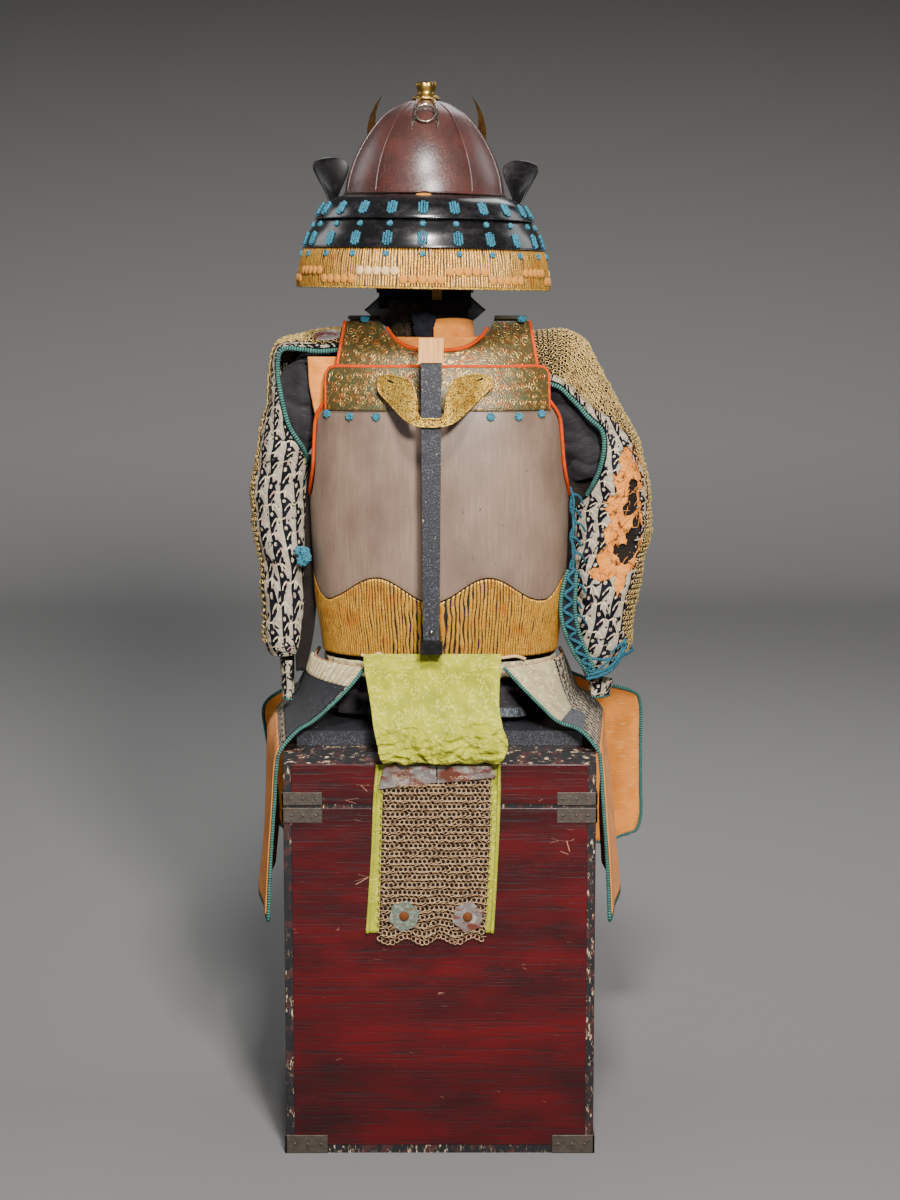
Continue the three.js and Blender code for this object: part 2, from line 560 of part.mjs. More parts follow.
// How far the mail reaches towards the back on each row of the sleeve, as a share of the sleeve's own turn.
const mailReach = {
  left: [0.86, 0.86, 0.8, 0.72, 0.5, 0.45, 0.4, 0.34, 0.28, 0.2, 0.16, 0.14],
  right: [0.93, 0.93, 0.92, 0.92, 0.9, 0.88, 0.8, 0.62, 0.45, 0.34, 0.28, 0.24, 0.22, 0.2],
};
const edgeRows = { left: 11, right: 11 };
for (const side of ['left', 'right']) {
  const rows = sleeves[side];
  add(`sleeve_${side}`, wall(sleeveGrid(side), cloth.sleeve), finishes.navyBrocade);
  const reach = mailReach[side];
  const mailGrid = sleeveGrid(side, (i) => range(6, -0.45, reach[i]), rows.slice(0, reach.length));
  const lift = (cloth.sleeve + cloth.mail) / 2 + 2;
  add(`shoulder_mail_${side}`, wall(movedOut(mailGrid, lift), cloth.mail), finishes.mail);
  const edging = rows.slice(0, edgeRows[side]).map((row) => {
    const edge = sleevePoint(row, 1);
    const inside = sleevePoint(row, 0.96);
    return edge.clone().addScaledVector(edge.clone().sub(inside).normalize(), 5.6);
  });
  add(`sleeve_edging_${side}`, cord(edging, 3.4, 6, 24), finishes.greenBraid);
}

// Charcoal under-sleeves: open tubes from inside the armhole to the elbow.
const underColumns = 'x z half deep';
const underSleeves = {
  left: table(underColumns, [-147, 1058, 32, 36], [-168, 1053, 35, 38], [-187, 1036, 35, 39],
    [-198, 1006, 35, 40], [-206, 976, 33, 38], [-217, 947, 28, 36], [-222, 926, 27, 34]),
  right: table(underColumns, [140, 1058, 30, 36], [158, 1050, 33, 38], [176, 1033, 36, 40],
    [191, 1008, 38, 42], [203, 974, 38, 42], [208, 942, 34, 39], [215, 918, 27, 30]),
};
for (const side of ['left', 'right']) {
  const rows = underSleeves[side];
  const grid = rows.map((row, i) => {
    const [before, after] = [rows[Math.max(i - 1, 0)], rows[Math.min(i + 1, rows.length - 1)]];
    const along = new THREE.Vector2(after.x - before.x, after.z - before.z).normalize();
    return range(14, 0, 2 * Math.PI).slice(0, -1).map((turn) => {
      const across = row.half * Math.cos(turn);
      return new THREE.Vector3(row.x - along.y * across, row.deep * Math.sin(turn), row.z + along.x * across);
    });
  });
  add(`under_sleeve_${side}`, wall(grid.reverse(), cloth.under, true), finishes.charcoalCotton);
}
const liningRows = table('z outer inner', [985, -168, -152], [1018, -175, -143], [1046, -180, -141],
  [1085, -182, -141]);
add('armhole_lining_left', wall(liningRows.map(({ z, outer, inner }) => range(4, outer, inner).map((x) => (
  new THREE.Vector3(x, -47 - 3 * Math.sin((x - outer) / (inner - outer) * Math.PI), z)))), cloth.lining),
    finishes.tanLinen);

// Backs of the hands below the cuffs, open towards the palm.
const hands = { left: { x: -215, half: 13, low: 598, high: 655 },
  right: { x: 222, half: 25, low: 602, high: 624 } };
for (const [side, hand] of Object.entries(hands)) {
  const outward = side === 'left' ? -1 : 1;
  const grid = range(3, hand.low, hand.high).map((z) => range(8, rad(-110), rad(110)).map((turn) => {
    const narrow = lerp(0.8, 1, (z - hand.low) / (hand.high - hand.low));
    return new THREE.Vector3(hand.x + outward * hand.half * narrow * Math.cos(turn),
      12 + outward * 24 * Math.sin(turn), z);
  }));
  add(`hand_guard_${side}`, wall(grid, cloth.sleeve), finishes.navyBrocade);
}

// Blue cord laced down the right sleeve's opening and once round the wrist.
const lacingPoints = [[184, -44, 896], [182, -46, 876], [188, -44, 856], [182, -46, 836], [188, -42, 814],
  [182, -44, 792], [189, -42, 770], [183, -44, 748], [190, -42, 726], [184, -44, 704], [192, -40, 684],
  [204, -44, 668], [226, -46, 662], [252, -36, 664], [270, -10, 668], [274, 16, 668], [262, 44, 666],
  [240, 58, 664]];
add('lacing_cord_right', cord(lacingPoints.map((p) => new THREE.Vector3(...p)), 2.2, 6, 48),
  finishes.blueCord);

// ---- cloth below the cuirass ----

// Black inner skirt, pleated, falling onto the stand's base and spreading there.
const skirtRows = table('z half deep pleat', [592, 158, 128, 9], [612, 150, 116, 7], [636, 148, 104, 4],
  [662, 148, 100, 1]);
const skirtTurns = range(44, 0, 2 * Math.PI).slice(0, -1);
const skirtGrid = skirtRows.map(({ z, half, deep, pleat }) => skirtTurns.map((turn) => {
  const swing = pleat * Math.sin(11 * turn);
  return new THREE.Vector3((half + swing) * Math.sin(turn), -(deep + swing) * Math.cos(turn), z);
}));
add('inner_skirt', wall(skirtGrid, cloth.band, true), finishes.charcoalCotton);

const waistTurns = range(32, 0, 2 * Math.PI).slice(0, -1);
const waistRows = [[646, 1.5], [668, 0]];
add('waistband', wall(waistRows.map(([z, out]) => waistTurns.map((turn) => torsoPoint(turn, z, out - 1))),
  cloth.band, true),
  finishes.creamSilk);

// Thigh guards: each row of the side panels gives its edge near the back and its edge towards the front.
const panelColumns = 'nearX nearY nearZ farX farY farZ bulge';
const sidePanels = {
  left: table(panelColumns,
    [-102, -122, 664, -174, 40, 666, 30],
    [-120, -138, 643, -186, 52, 645, 24],
    [-142, -154, 622, -198, 64, 624, 14],
    [-170, -176, 600, -208, 76, 604, 4],
    [-191, -192, 589, -218, 86, 590, 0],
    [-212, -207, 567, -238, 93, 568, 0],
    [-218, -208, 546, -254, 98, 536, 0],
    [-222, -208, 490, -250, 102, 490, -4],
    [-228, -208, 410, -244, 106, 410, -6],
    [-232, -208, 332, -250, 110, 332, 2]),
  right: table(panelColumns,
    [88, -126, 664, 172, 40, 666, 32],
    [110, -139, 642, 182, 52, 644, 22],
    [134, -156, 620, 191, 64, 620, 12],
    [160, -176, 599, 200, 75, 600, 4],
    [189, -192, 590, 213, 85, 591, 0],
    [211, -207, 567, 236, 92, 567, 0],
    [216, -208, 546, 240, 98, 540, 0],
    [220, -208, 490, 242, 102, 490, -4],
    [226, -208, 410, 240, 106, 410, -6],
    [230, -208, 332, 244, 110, 332, 2]),
};
function panelGrid(side, rows = sidePanels[side], shares = range(7)) {
  const outward = side === 'left' ? -1 : 1;
  const grid = rows.map((row) => shares.map((share) => {
    const out = row.bulge * Math.sin(Math.PI * share);
    const near = new THREE.Vector3(row.nearX, row.nearY, row.nearZ);
    const far = new THREE.Vector3(row.farX, row.farY, row.farZ);
    return near.lerp(far, share).add(new THREE.Vector3(outward * out, -out * 0.3, 0));
  }));
  return (side === 'left' ? grid : grid.map((row) => row.reverse()));
}
for (const side of ['left', 'right']) {
  add(`side_panel_${side}`, wall(panelGrid(side), cloth.panel), finishes.navyBrocade);
}
const patchGrid = panelGrid('right', sidePanels.right.slice(0, 4), range(3, 0, 3 / 7));
add('cream_patch', wall(movedOut(patchGrid, (cloth.panel + 1.6) / 2 + 0.8), 1.6), finishes.creamSilk);

// Front panels: over the far edge of the lid and down the chest's front, splayed past its corners.
const frontColumns = 'y z inner outer';
const frontPanels = {
  left: table(frontColumns, [118, 664, 12, 112], [140, 640, 12, 140], [166, 612, 12, 172],
    [190, 590, 12, 205], [210, 570, 12, 246], [217, 546, 12, 270], [216, 500, 12, 266],
    [216, 430, 12, 256], [217, 380, 12, 252], [218, 340, 12, 240]),
  right: table(frontColumns, [118, 664, 12, 118], [140, 640, 12, 150], [166, 612, 12, 186],
    [190, 590, 12, 232], [210, 572, 12, 290], [217, 552, 12, 304], [216, 500, 12, 305],
    [216, 430, 12, 306], [217, 370, 12, 306], [218, 334, 12, 288]),
};
for (const side of ['left', 'right']) {
  const outward = side === 'left' ? -1 : 1;
  const grid = frontPanels[side].map(({ y, z, inner, outer }) => range(8, inner, outer).map((x) => (
    new THREE.Vector3(outward * x, y + 4 * Math.sin(x / 26), z))));
  const facing = side === 'left' ? grid : grid.map((row) => row.reverse());
  add(`front_panel_${side}`, wall(facing.reverse(), cloth.panel), finishes.navyBrocade);
}

// Rear apron: a gathered pouch above a flat skirt of mail on green cloth.
const pouchRows = table('y z left right rumple', [-206, 553, -70, 68, 4], [-220, 551, -74, 76, 4],
  [-227, 561, -79, 86, 6], [-224, 578, -83, 91, 6], [-214, 600, -88, 84, 4], [-196, 624, -92, 80, 3],
  [-170, 650, -98, 81, 2], [-142, 670, -103, 83, 1], [-131, 684, -104, 84, 0.5]);
const pouchGrid = pouchRows.map(({ y, z, left, right, rumple }, i) => range(14, left, right).map((x) => (
  new THREE.Vector3(x, y - rumple * Math.sin(x / 9 + i * 0.9) - rumple * 0.5 * Math.cos(x / 5.3 - i), z))));
add('apron_upper', wall(pouchGrid, cloth.apron), finishes.greenDamask);

const skirt = { y: -203.2, top: 546 };
const skirtEdges = table('z left right', [313, -98, 71], [428, -90, 77], [500, -87, 79.5],
  [skirt.top, -83, 79.5]);
add('apron_lower', wall(skirtEdges.map(({ z, left, right }) => range(4, left, right).map((x) => (
  new THREE.Vector3(x, skirt.y, z)))), cloth.apron), finishes.greenDamask);
const mailEdges = table('z left right', [302, -84, 62], [428, -80, 69], [500, -78, 70], [540, -74, 70]);
add('apron_mail', wall(mailEdges.map(({ z, left, right }, i) => range(16, left, right).map((x) => (
  new THREE.Vector3(x, skirt.y - 3.4, z + (i ? 0 : 5 * Math.cos(x / 7.2)))))), 3), finishes.rustyMail);
const plateOutlines = {
  left: [[-74, 545], [-5, 546], [-4, 522], [-82, 513]],
  right: [[-3, 545], [70, 545], [76, 529], [-3, 521]],
};
for (const [side, outline] of Object.entries(plateOutlines)) {
  add(`apron_plate_${side}`, slab(outline, skirt.y - 7.2, skirt.y - 5.4), finishes.rustyIron);
}

export default armour;
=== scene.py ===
# Samurai armour seated on its storage chest: the looks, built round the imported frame. Metres, +Z up.
# The back of the armour faces -Y. Tables are in millimetres and are scaled where a point is made.
import math
import random

import bmesh
import bpy
from mathutils import Matrix, Vector, noise


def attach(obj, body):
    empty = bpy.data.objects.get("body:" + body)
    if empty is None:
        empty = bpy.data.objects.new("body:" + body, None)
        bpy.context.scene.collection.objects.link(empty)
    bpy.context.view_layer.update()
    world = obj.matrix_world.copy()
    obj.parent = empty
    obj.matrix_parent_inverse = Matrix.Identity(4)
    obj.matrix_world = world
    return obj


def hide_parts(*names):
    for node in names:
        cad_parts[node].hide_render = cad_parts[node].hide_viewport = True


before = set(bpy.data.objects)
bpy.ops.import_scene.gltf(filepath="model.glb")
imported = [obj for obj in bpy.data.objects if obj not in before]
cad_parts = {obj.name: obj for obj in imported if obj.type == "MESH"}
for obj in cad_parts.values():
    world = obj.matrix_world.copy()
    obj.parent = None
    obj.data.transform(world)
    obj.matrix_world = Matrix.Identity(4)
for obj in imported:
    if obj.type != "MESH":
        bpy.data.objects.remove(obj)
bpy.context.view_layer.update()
mm = 0.001
print("frame loaded")

# Camera, floor and light.

cameraPlace = {"location": (0.014, -3.1435, 1.1763), "down": 7.9, "lens": 67.08}
camera = bpy.data.objects.new("camera", bpy.data.cameras.new("camera"))
camera.data.lens = cameraPlace["lens"]
camera.data.sensor_width = 36
camera.location = cameraPlace["location"]
camera.rotation_euler = (math.radians(90 - cameraPlace["down"]), 0, 0)
bpy.context.scene.collection.objects.link(camera)
bpy.context.scene.camera = camera

# where each lamp stands, its size, its power, its colour and the spot that it faces
lamps = {
    "keyLamp": ((0.6, -3.0, 2.15), 0.4, 175, (1.0, 0.96, 0.91), (0, 0, 0.95)),
    "crownLamp": ((0.12, -2.1, 3.15), 0.42, 105, (1.0, 0.97, 0.93), (0, 0, 0.95)),
    "fillLamp": ((-1.4, -2.7, 1.3), 1.6, 8, (0.95, 0.97, 1.0), (0, 0, 0.95)),
    "rimLampLeft": ((-1.9, 0.9, 2.2), 1.0, 7, (1.0, 1.0, 1.0), (0, 0, 0.95)),
    "rimLampRight": ((1.9, 1.0, 2.2), 1.0, 7, (1.0, 1.0, 1.0), (0, 0, 0.95)),
    "frontLamp": ((0.3, 2.2, 3.2), 1.6, 24, (1.0, 1.0, 1.0), (0, 0, 0.95)),
}
for lampName, (place, size, power, colour, aim) in lamps.items():
    data = bpy.data.lights.new(lampName, "AREA")
    data.size, data.energy, data.color = size, power, colour
    lamp = bpy.data.objects.new(lampName, data)
    lamp.location = place
    lamp.rotation_euler = (Vector(aim) - Vector(place)).to_track_quat("-Z", "Y").to_euler()
    bpy.context.scene.collection.objects.link(lamp)

world = bpy.data.worlds.new("studio")
world.use_nodes = True
world.node_tree.nodes["Background"].inputs[0].default_value = (0.62, 0.64, 0.67, 1)
world.node_tree.nodes["Background"].inputs[1].default_value = 0.14
bpy.context.scene.world = world

# Materials.


def toLinear(hexColour):
    parts = [int(hexColour[i:i + 2], 16) / 255 for i in (1, 3, 5)]
    return [p / 12.92 if p <= 0.04045 else ((p + 0.055) / 1.055) ** 2.4 for p in parts] + [1]


def addNode(tree, kind, values=None, **settings):
    node = tree.nodes.new(kind)
    for key, value in settings.items():
        setattr(node, key, value)
    for socket, value in (values or {}).items():
        if isinstance(value, bpy.types.NodeSocket):
            tree.links.new(value, node.inputs[socket])
        else:
            node.inputs[socket].default_value = value
    return node


def newFinish(name, roughness=0.5, metallic=0.0, **sockets):
    material = bpy.data.materials.new(name)
    material.use_nodes = True
    tree = material.node_tree
    shader = tree.nodes["Principled BSDF"]
    shader.inputs["Roughness"].default_value = roughness
    shader.inputs["Metallic"].default_value = metallic
    for key, value in sockets.items():
        shader.inputs[key.replace("_", " ")].default_value = value
    return material, tree, shader


# Place on the piece: its object coordinates in millimetres, or its own cloth map in millimetres.
def placeOn(tree, stretch=(1, 1, 1), cloth=False, turn=0.0):
    if cloth:
        source = addNode(tree, "ShaderNodeUVMap", uv_map="cloth").outputs["UV"]
    else:
        source = addNode(tree, "ShaderNodeTexCoord").outputs["Object"]
    turned = addNode(tree, "ShaderNodeMapping", {"Vector": source, "Rotation": (0, 0, turn),
                                                 "Scale": [1000 * s for s in stretch]})
    return turned.outputs["Vector"]


# Patches of noise between two levels; size is one patch in millimetres.
def patches(tree, place, size, low, high, detail=4.0, rough=0.55):
    grain = addNode(tree, "ShaderNodeTexNoise", {"Vector": place, "Scale": 1 / size, "Detail": detail,
                                                 "Roughness": rough})
    level = addNode(tree, "ShaderNodeMapRange", {"Value": grain.outputs[0], "From Min": low,
                                                 "From Max": high})
    return level.outputs[0]


# Coats of colour laid over each other, each with the mask through which it shows.
def coats(tree, base, *layers):
    colour = toLinear(base) if isinstance(base, str) else base
    for mask, over in layers:
        over = toLinear(over) if isinstance(over, str) else over
        colour = addNode(tree, "ShaderNodeMix", {0: mask, 6: colour, 7: over}, data_type="RGBA").outputs[2]
    return colour


# Small relief: each height in turn with its depth in millimetres.
def relief(tree, shader, *heights):
    normal = None
    for height, depth in heights:
        values = {"Height": height, "Distance": abs(depth) * mm, "Strength": 1.0}
        if normal:
            values["Normal"] = normal
        normal = addNode(tree, "ShaderNodeBump", values, invert=depth < 0).outputs[0]
    tree.links.new(normal, shader.inputs["Normal"])


# Two values joined by one sum or product.
def joined(tree, how, a, b):
    return addNode(tree, "ShaderNodeMath", {0: a, 1: b}, operation=how, use_clamp=True).outputs[0]


# Crossing threads of cloth, seen as a fine check of bumps; pitch is the spacing of threads in millimetres.
def weave(tree, pitch):
    place = placeOn(tree, (1 / pitch, 1 / pitch, 1), cloth=True)
    across = addNode(tree, "ShaderNodeTexWave", {"Vector": place, "Scale": 0.31}, bands_direction="X")
    along = addNode(tree, "ShaderNodeTexWave", {"Vector": place, "Scale": 0.31}, bands_direction="Y")
    return joined(tree, "MULTIPLY", across.outputs[0], along.outputs[0])


def linkTo(tree, shader, **sockets):
    for key, value in sockets.items():
        tree.links.new(value, shader.inputs[key.replace("_", " ")])


# Urushi lacquer over planks: deep red with black grain along the boards, rubbed thin and scratched.
def makeRedLacquer():
    material, tree, shader = newFinish("redUrushiOnPlanks", 0.45, Coat_Weight=0.12, Coat_Roughness=0.22,
                                       Specular_IOR_Level=0.35)
    grain = patches(tree, placeOn(tree, (1, 1, 22)), 90, 0.49, 0.74, 8, 0.66)
    cloud = patches(tree, placeOn(tree, (1, 1, 2.5)), 120, 0.42, 0.72)
    plank = patches(tree, placeOn(tree, (0.02, 0.02, 1)), 75, 0.4, 0.6, 1)
    scratchA = patches(tree, placeOn(tree, turn=0.3), 40, 0.655, 0.7, 2)
    thin = addNode(tree, "ShaderNodeTexVoronoi", {"Vector": placeOn(tree, (1, 1, 3.5)), "Scale": 1 / 52},
                   feature="DISTANCE_TO_EDGE")
    line = addNode(tree, "ShaderNodeMapRange", {"Value": thin.outputs["Distance"], "From Min": 0.012,
                                                "From Max": 0.0}).outputs[0]
    scratch = joined(tree, "MULTIPLY", line, scratchA)
    colour = coats(tree, "#400206", (plank, "#570308"), (cloud, "#270306"), (grain, "#0e0305"),
                   (scratch, "#c49274"))
    rough = addNode(tree, "ShaderNodeMapRange", {"Value": grain, "To Min": 0.36, "To Max": 0.6}).outputs[0]
    linkTo(tree, shader, Base_Color=colour, Roughness=rough)
    relief(tree, shader, (grain, -0.25), (scratch, -0.3))
    return material


# Black lacquered edge strips, chipped through to the pale ground of clay and cloth.
def makeChippedBlack():
    material, tree, shader = newFinish("chippedBlackLacquer", 0.45, Coat_Weight=0.2, Coat_Roughness=0.35)
    place = placeOn(tree)
    upright = patches(tree, placeOn(tree, (1, 1, 0.25)), 3.2, 0.56, 0.6, 7, 0.75)
    level = patches(tree, placeOn(tree, (0.3, 0.3, 1)), 3.2, 0.56, 0.6, 7, 0.75)
    height = addNode(tree, "ShaderNodeSeparateXYZ", {0: place}).outputs["Z"]
    onTop = addNode(tree, "ShaderNodeMath", {0: height, 1: 544.0}, operation="GREATER_THAN").outputs[0]
    chips = addNode(tree, "ShaderNodeMix", {0: onTop, 2: upright, 3: level}).outputs[0]
    where = patches(tree, place, 60, 0.4, 0.52, 2)
    chipped = joined(tree, "MULTIPLY", chips, where)
    brown = patches(tree, place, 14, 0.52, 0.6)
    colour = coats(tree, "#111015", (brown, "#3a1a19"), (chipped, "#d9bf9f"))
    linkTo(tree, shader, Base_Color=colour)
    relief(tree, shader, (chipped, -0.5))
    return material


# Old black paint on wood, dull and faintly blue, with small pale knocks.
def makeBlackWood():
    material, tree, shader = newFinish("blackPaintedWood", 0.46)
    place = placeOn(tree)
    knocks = patches(tree, place, 5, 0.69, 0.72, 3)
    dust = patches(tree, place, 2.2, 0.5, 0.72, 2)
    colour = coats(tree, "#1b1c22", (dust, "#454952"), (knocks, "#cbb79b"))
    linkTo(tree, shader, Base_Color=colour)
    relief(tree, shader, (dust, 0.15), (knocks, -0.4))
    return material


# Planed softwood, honey coloured, with growth rings running up the grain.
def makeTanWood():
    material, tree, shader = newFinish("planedHinoki", 0.62)
    rings = addNode(tree, "ShaderNodeTexWave", {"Vector": placeOn(tree, (1, 1, 0.06)), "Scale": 0.05,
                                                "Distortion": 5.0, "Detail": 3.0, "Detail Scale": 0.6})
    fibre = patches(tree, placeOn(tree, (1, 1, 0.05)), 1.6, 0.35, 0.7)
    colour = coats(tree, "#dc9850", (rings.outputs[0], "#c07c3a"), (fibre, "#e8b06c"))
    linkTo(tree, shader, Base_Color=colour)
    relief(tree, shader, (fibre, 0.15))
    return material


# Iron lacquered rust brown: satin gloss over the fine pitted skin left in the iron.
def makeRussetIron():
    material, tree, shader = newFinish("russetLacqueredIron", 0.5, Coat_Weight=0.95, Coat_Roughness=0.33)
    place = placeOn(tree)
    pits = patches(tree, place, 2.6, 0.5, 0.72, 4, 0.7)
    cloud = patches(tree, place, 34, 0.4, 0.66)
    rub = patches(tree, placeOn(tree, (1, 1, 0.25)), 16, 0.6, 0.78)
    colour = coats(tree, "#38110a", (cloud, "#4a190e"), (rub, "#63331f"), (pits, "#1a0906"))
    rough = addNode(tree, "ShaderNodeMapRange", {"Value": cloud, "To Min": 0.44, "To Max": 0.56}).outputs[0]
    linkTo(tree, shader, Base_Color=colour, Roughness=rough)
    relief(tree, shader, (pits, -0.55), (cloud, 0.15))
    return material


# Polished black urushi with scuffs where plates have rubbed.
def makeBlackLacquer(name="polishedBlackUrushi", roughness=0.24, coat=0.5):
    material, tree, shader = newFinish(name, roughness, Coat_Weight=coat, Coat_Roughness=0.16)
    scuff = patches(tree, placeOn(tree, (1, 1, 1.6)), 24, 0.5, 0.72, 7, 0.68)
    dust = patches(tree, placeOn(tree), 2.5, 0.6, 0.8, 2)
    colour = coats(tree, "#0f0e10", (scuff, "#262326"), (dust, "#2a282a"))
    rough = addNode(tree, "ShaderNodeMapRange", {"Value": scuff, "To Min": roughness,
                                                 "To Max": roughness + 0.16}).outputs[0]
    linkTo(tree, shader, Base_Color=colour, Roughness=rough)
    relief(tree, shader, (scuff, 0.05))
    return material


# Raised lacquer ribs dusted with gold over black, like tree bark: gold on the ribs, black between them.
def makeGoldBark():
    material, tree, shader = newFinish("goldDustedBarkLacquer", 0.4, Coat_Weight=0.15, Coat_Roughness=0.3)
    ridge = addNode(tree, "ShaderNodeAttribute", attribute_name="ridge").outputs["Fac"]
    place = placeOn(tree)
    rubbed = patches(tree, place, 26, 0.52, 0.68)
    grit = patches(tree, place, 1.6, 0.42, 0.62, 2)
    gilt = addNode(tree, "ShaderNodeMapRange", {"Value": ridge, "From Min": 0.5, "From Max": 0.72}).outputs[0]
    colour = coats(tree, "#120d09", (gilt, coats(tree, "#dba53e", (grit, "#b37a20"), (rubbed, "#c47a1e"))))
    shine = addNode(tree, "ShaderNodeMapRange", {"Value": gilt, "To Min": 0.0, "To Max": 0.5}).outputs[0]
    linkTo(tree, shader, Base_Color=colour, Metallic=shine)
    relief(tree, shader, (grit, 0.15))
    return material


# Gilded brass, and the silver, bronze and rusted metals made like it, with darker tarnish left in patches.
def makeBrass(name="agedGiltBrass", light="#c9a558", dark="#6d4f22", roughness=0.3, metallic=1.0, wear=0.46):
    material, tree, shader = newFinish(name, roughness, metallic)
    place = placeOn(tree)
    tarnish = patches(tree, place, 7, wear, wear + 0.22, 5)
    colour = coats(tree, light, (tarnish, dark))
    rough = addNode(tree, "ShaderNodeMapRange", {"Value": tarnish, "To Min": roughness,
                                                 "To Max": 0.5}).outputs[0]
    linkTo(tree, shader, Base_Color=colour, Roughness=rough)
    relief(tree, shader, (tarnish, -0.02))
    return material


# Taupe lacquer wiped on with a brush: upright strokes, a few fine scratches and dark rubs.
def makeTaupeLacquer():
    material, tree, shader = newFinish("brushedTaupeLacquer", 0.44, Coat_Weight=0.1, Coat_Roughness=0.36)
    strokes = patches(tree, placeOn(tree, (1, 1, 0.045)), 2.6, 0.34, 0.7, 5)
    cloud = patches(tree, placeOn(tree, (1, 1, 0.5)), 60, 0.38, 0.68)
    rubs = patches(tree, placeOn(tree, (1, 1, 0.4)), 6, 0.69, 0.76, 3)
    specks = patches(tree, placeOn(tree), 2.4, 0.7, 0.78, 2)
    colour = coats(tree, "#7d6758", (strokes, "#8c7666"), (cloud, "#6a5649"), (rubs, "#493a32"),
                   (specks, "#b3a294"))
    linkTo(tree, shader, Base_Color=colour)
    relief(tree, shader, (strokes, 0.1))
    return material


# Stamped leather under dark green-brown lacquer; the tooled ground is finely pebbled.
def makeEmbossedLeather():
    material, tree, shader = newFinish("stampedLeather", 0.38, 0.3, Coat_Weight=0.15, Coat_Roughness=0.35)
    place = placeOn(tree)
    pebble = addNode(tree, "ShaderNodeTexVoronoi", {"Vector": place, "Scale": 1 / 2.2}).outputs["Distance"]
    green = patches(tree, place, 9, 0.42, 0.6)
    gold = patches(tree, place, 5, 0.55, 0.66)
    colour = coats(tree, "#5a4220", (green, "#484c2c"), (gold, "#95702f"))
    linkTo(tree, shader, Base_Color=colour)
    relief(tree, shader, (pebble, -0.5))
    return material


# The raised scrolls of the leather, gilded and rubbed to copper on their tops.
def makeGiltScroll():
    material, tree, shader = newFinish("rubbedGiltLeather", 0.3, 0.75)
    place = placeOn(tree)
    copper = patches(tree, place, 11, 0.46, 0.58)
    green = patches(tree, place, 8, 0.55, 0.66)
    colour = coats(tree, "#d2b273", (copper, "#c46c32"), (green, "#9a8c50"))
    linkTo(tree, shader, Base_Color=colour)
    return material


# Gold powder sprinkled thickly over black lacquer: fine gold crumbs with black worms of ground between them.
def makeGoldCrumb():
    material, tree, shader = newFinish("sprinkledGoldLacquer", 0.45, 0.25)
    place = placeOn(tree)
    crumbs = patches(tree, place, 1.7, 0.4, 0.48, 1)
    warm = patches(tree, place, 12, 0.45, 0.62)
    linkTo(tree, shader, Base_Color=coats(tree, "#1b1610",
                                          (crumbs, coats(tree, "#e0b84e", (warm, "#c8922c")))))
    relief(tree, shader, (crumbs, 0.5))
    return material


def makeIron():
    # hammered and oiled: dark with rust in spots
    material, tree, shader = newFinish("forgedBlackIron", 0.5, 0.6)
    place = placeOn(tree)
    rust = patches(tree, place, 8, 0.56, 0.7)
    dents = patches(tree, place, 5, 0.3, 0.7)
    linkTo(tree, shader, Base_Color=coats(tree, "#463f39", (rust, "#5e4434"), (dents, "#5a524a")))
    relief(tree, shader, (dents, 0.3))
    return material


# Plates of old iron: worn bright in the middle, brown rust along the edges and in spots.
def makeRustyIron():
    material, tree, shader = newFinish("rustedIronPlate", 0.55, 0.4)
    place = placeOn(tree)
    rust = patches(tree, placeOn(tree, (0.6, 1, 1)), 15, 0.47, 0.58, 6)
    pale = patches(tree, place, 9, 0.5, 0.64, 6)
    linkTo(tree, shader, Base_Color=coats(tree, "#7b7370", (pale, "#a8a19c"), (rust, "#6b3526")))
    relief(tree, shader, (rust, 0.25))
    return material


# Copper plates gone to verdigris: chalky pale green with brown metal showing.
def makeVerdigris():
    material, tree, shader = newFinish("verdigrisCopper", 0.75, 0.1)
    place = placeOn(tree)
    brown = patches(tree, place, 5, 0.53, 0.62)
    pale = patches(tree, place, 7, 0.5, 0.64)
    linkTo(tree, shader, Base_Color=coats(tree, "#5c6a5e", (pale, "#8b978a"), (brown, "#67503a")))
    relief(tree, shader, (brown, -0.2))
    return material


# A plain cloth of one colour with its weave, faint slubs and sheen.
def makeCloth(name, base, shade, light, pitch=1.6, roughness=0.85, sheen=0.06, patchSize=30, stain=None):
    material, tree, shader = newFinish(name, roughness, Sheen_Weight=sheen, Sheen_Roughness=0.5,
                                       Specular_IOR_Level=0.2)
    threads = weave(tree, pitch)
    cloud = patches(tree, placeOn(tree, cloth=True), patchSize, 0.4, 0.66)
    slub = patches(tree, placeOn(tree, (0.12, 1, 1), True), 2.2, 0.56, 0.74)
    colour = coats(tree, base, (cloud, shade), (slub, light))
    if stain:
        spots = patches(tree, placeOn(tree, cloth=True), 11, 0.56, 0.68, 5)
        bent = addNode(tree, "ShaderNodeTexNoise", {"Vector": placeOn(tree, cloth=True),
                                                    "Scale": 1 / 9}).outputs[1]
        bent = addNode(tree, "ShaderNodeVectorMath", {0: bent, 1: (9.0, 9.0, 0.0),
                                                      2: placeOn(tree, cloth=True)},
                       operation="MULTIPLY_ADD").outputs[0]
        crack = addNode(tree, "ShaderNodeTexVoronoi", {"Vector": bent, "Scale": 1 / 19},
                        feature="DISTANCE_TO_EDGE")
        crack = addNode(tree, "ShaderNodeMapRange", {"Value": crack.outputs["Distance"], "From Min": 0.045,
                                                     "From Max": 0.0}).outputs[0]
        where = patches(tree, placeOn(tree, cloth=True), 24, 0.44, 0.56, 3)
        colour = coats(tree, colour, (spots, stain), (joined(tree, "MULTIPLY", crack, where), "#1c0f08"))
    linkTo(tree, shader, Base_Color=colour)
    relief(tree, shader, (threads, 0.35), (slub, 0.2))
    return material


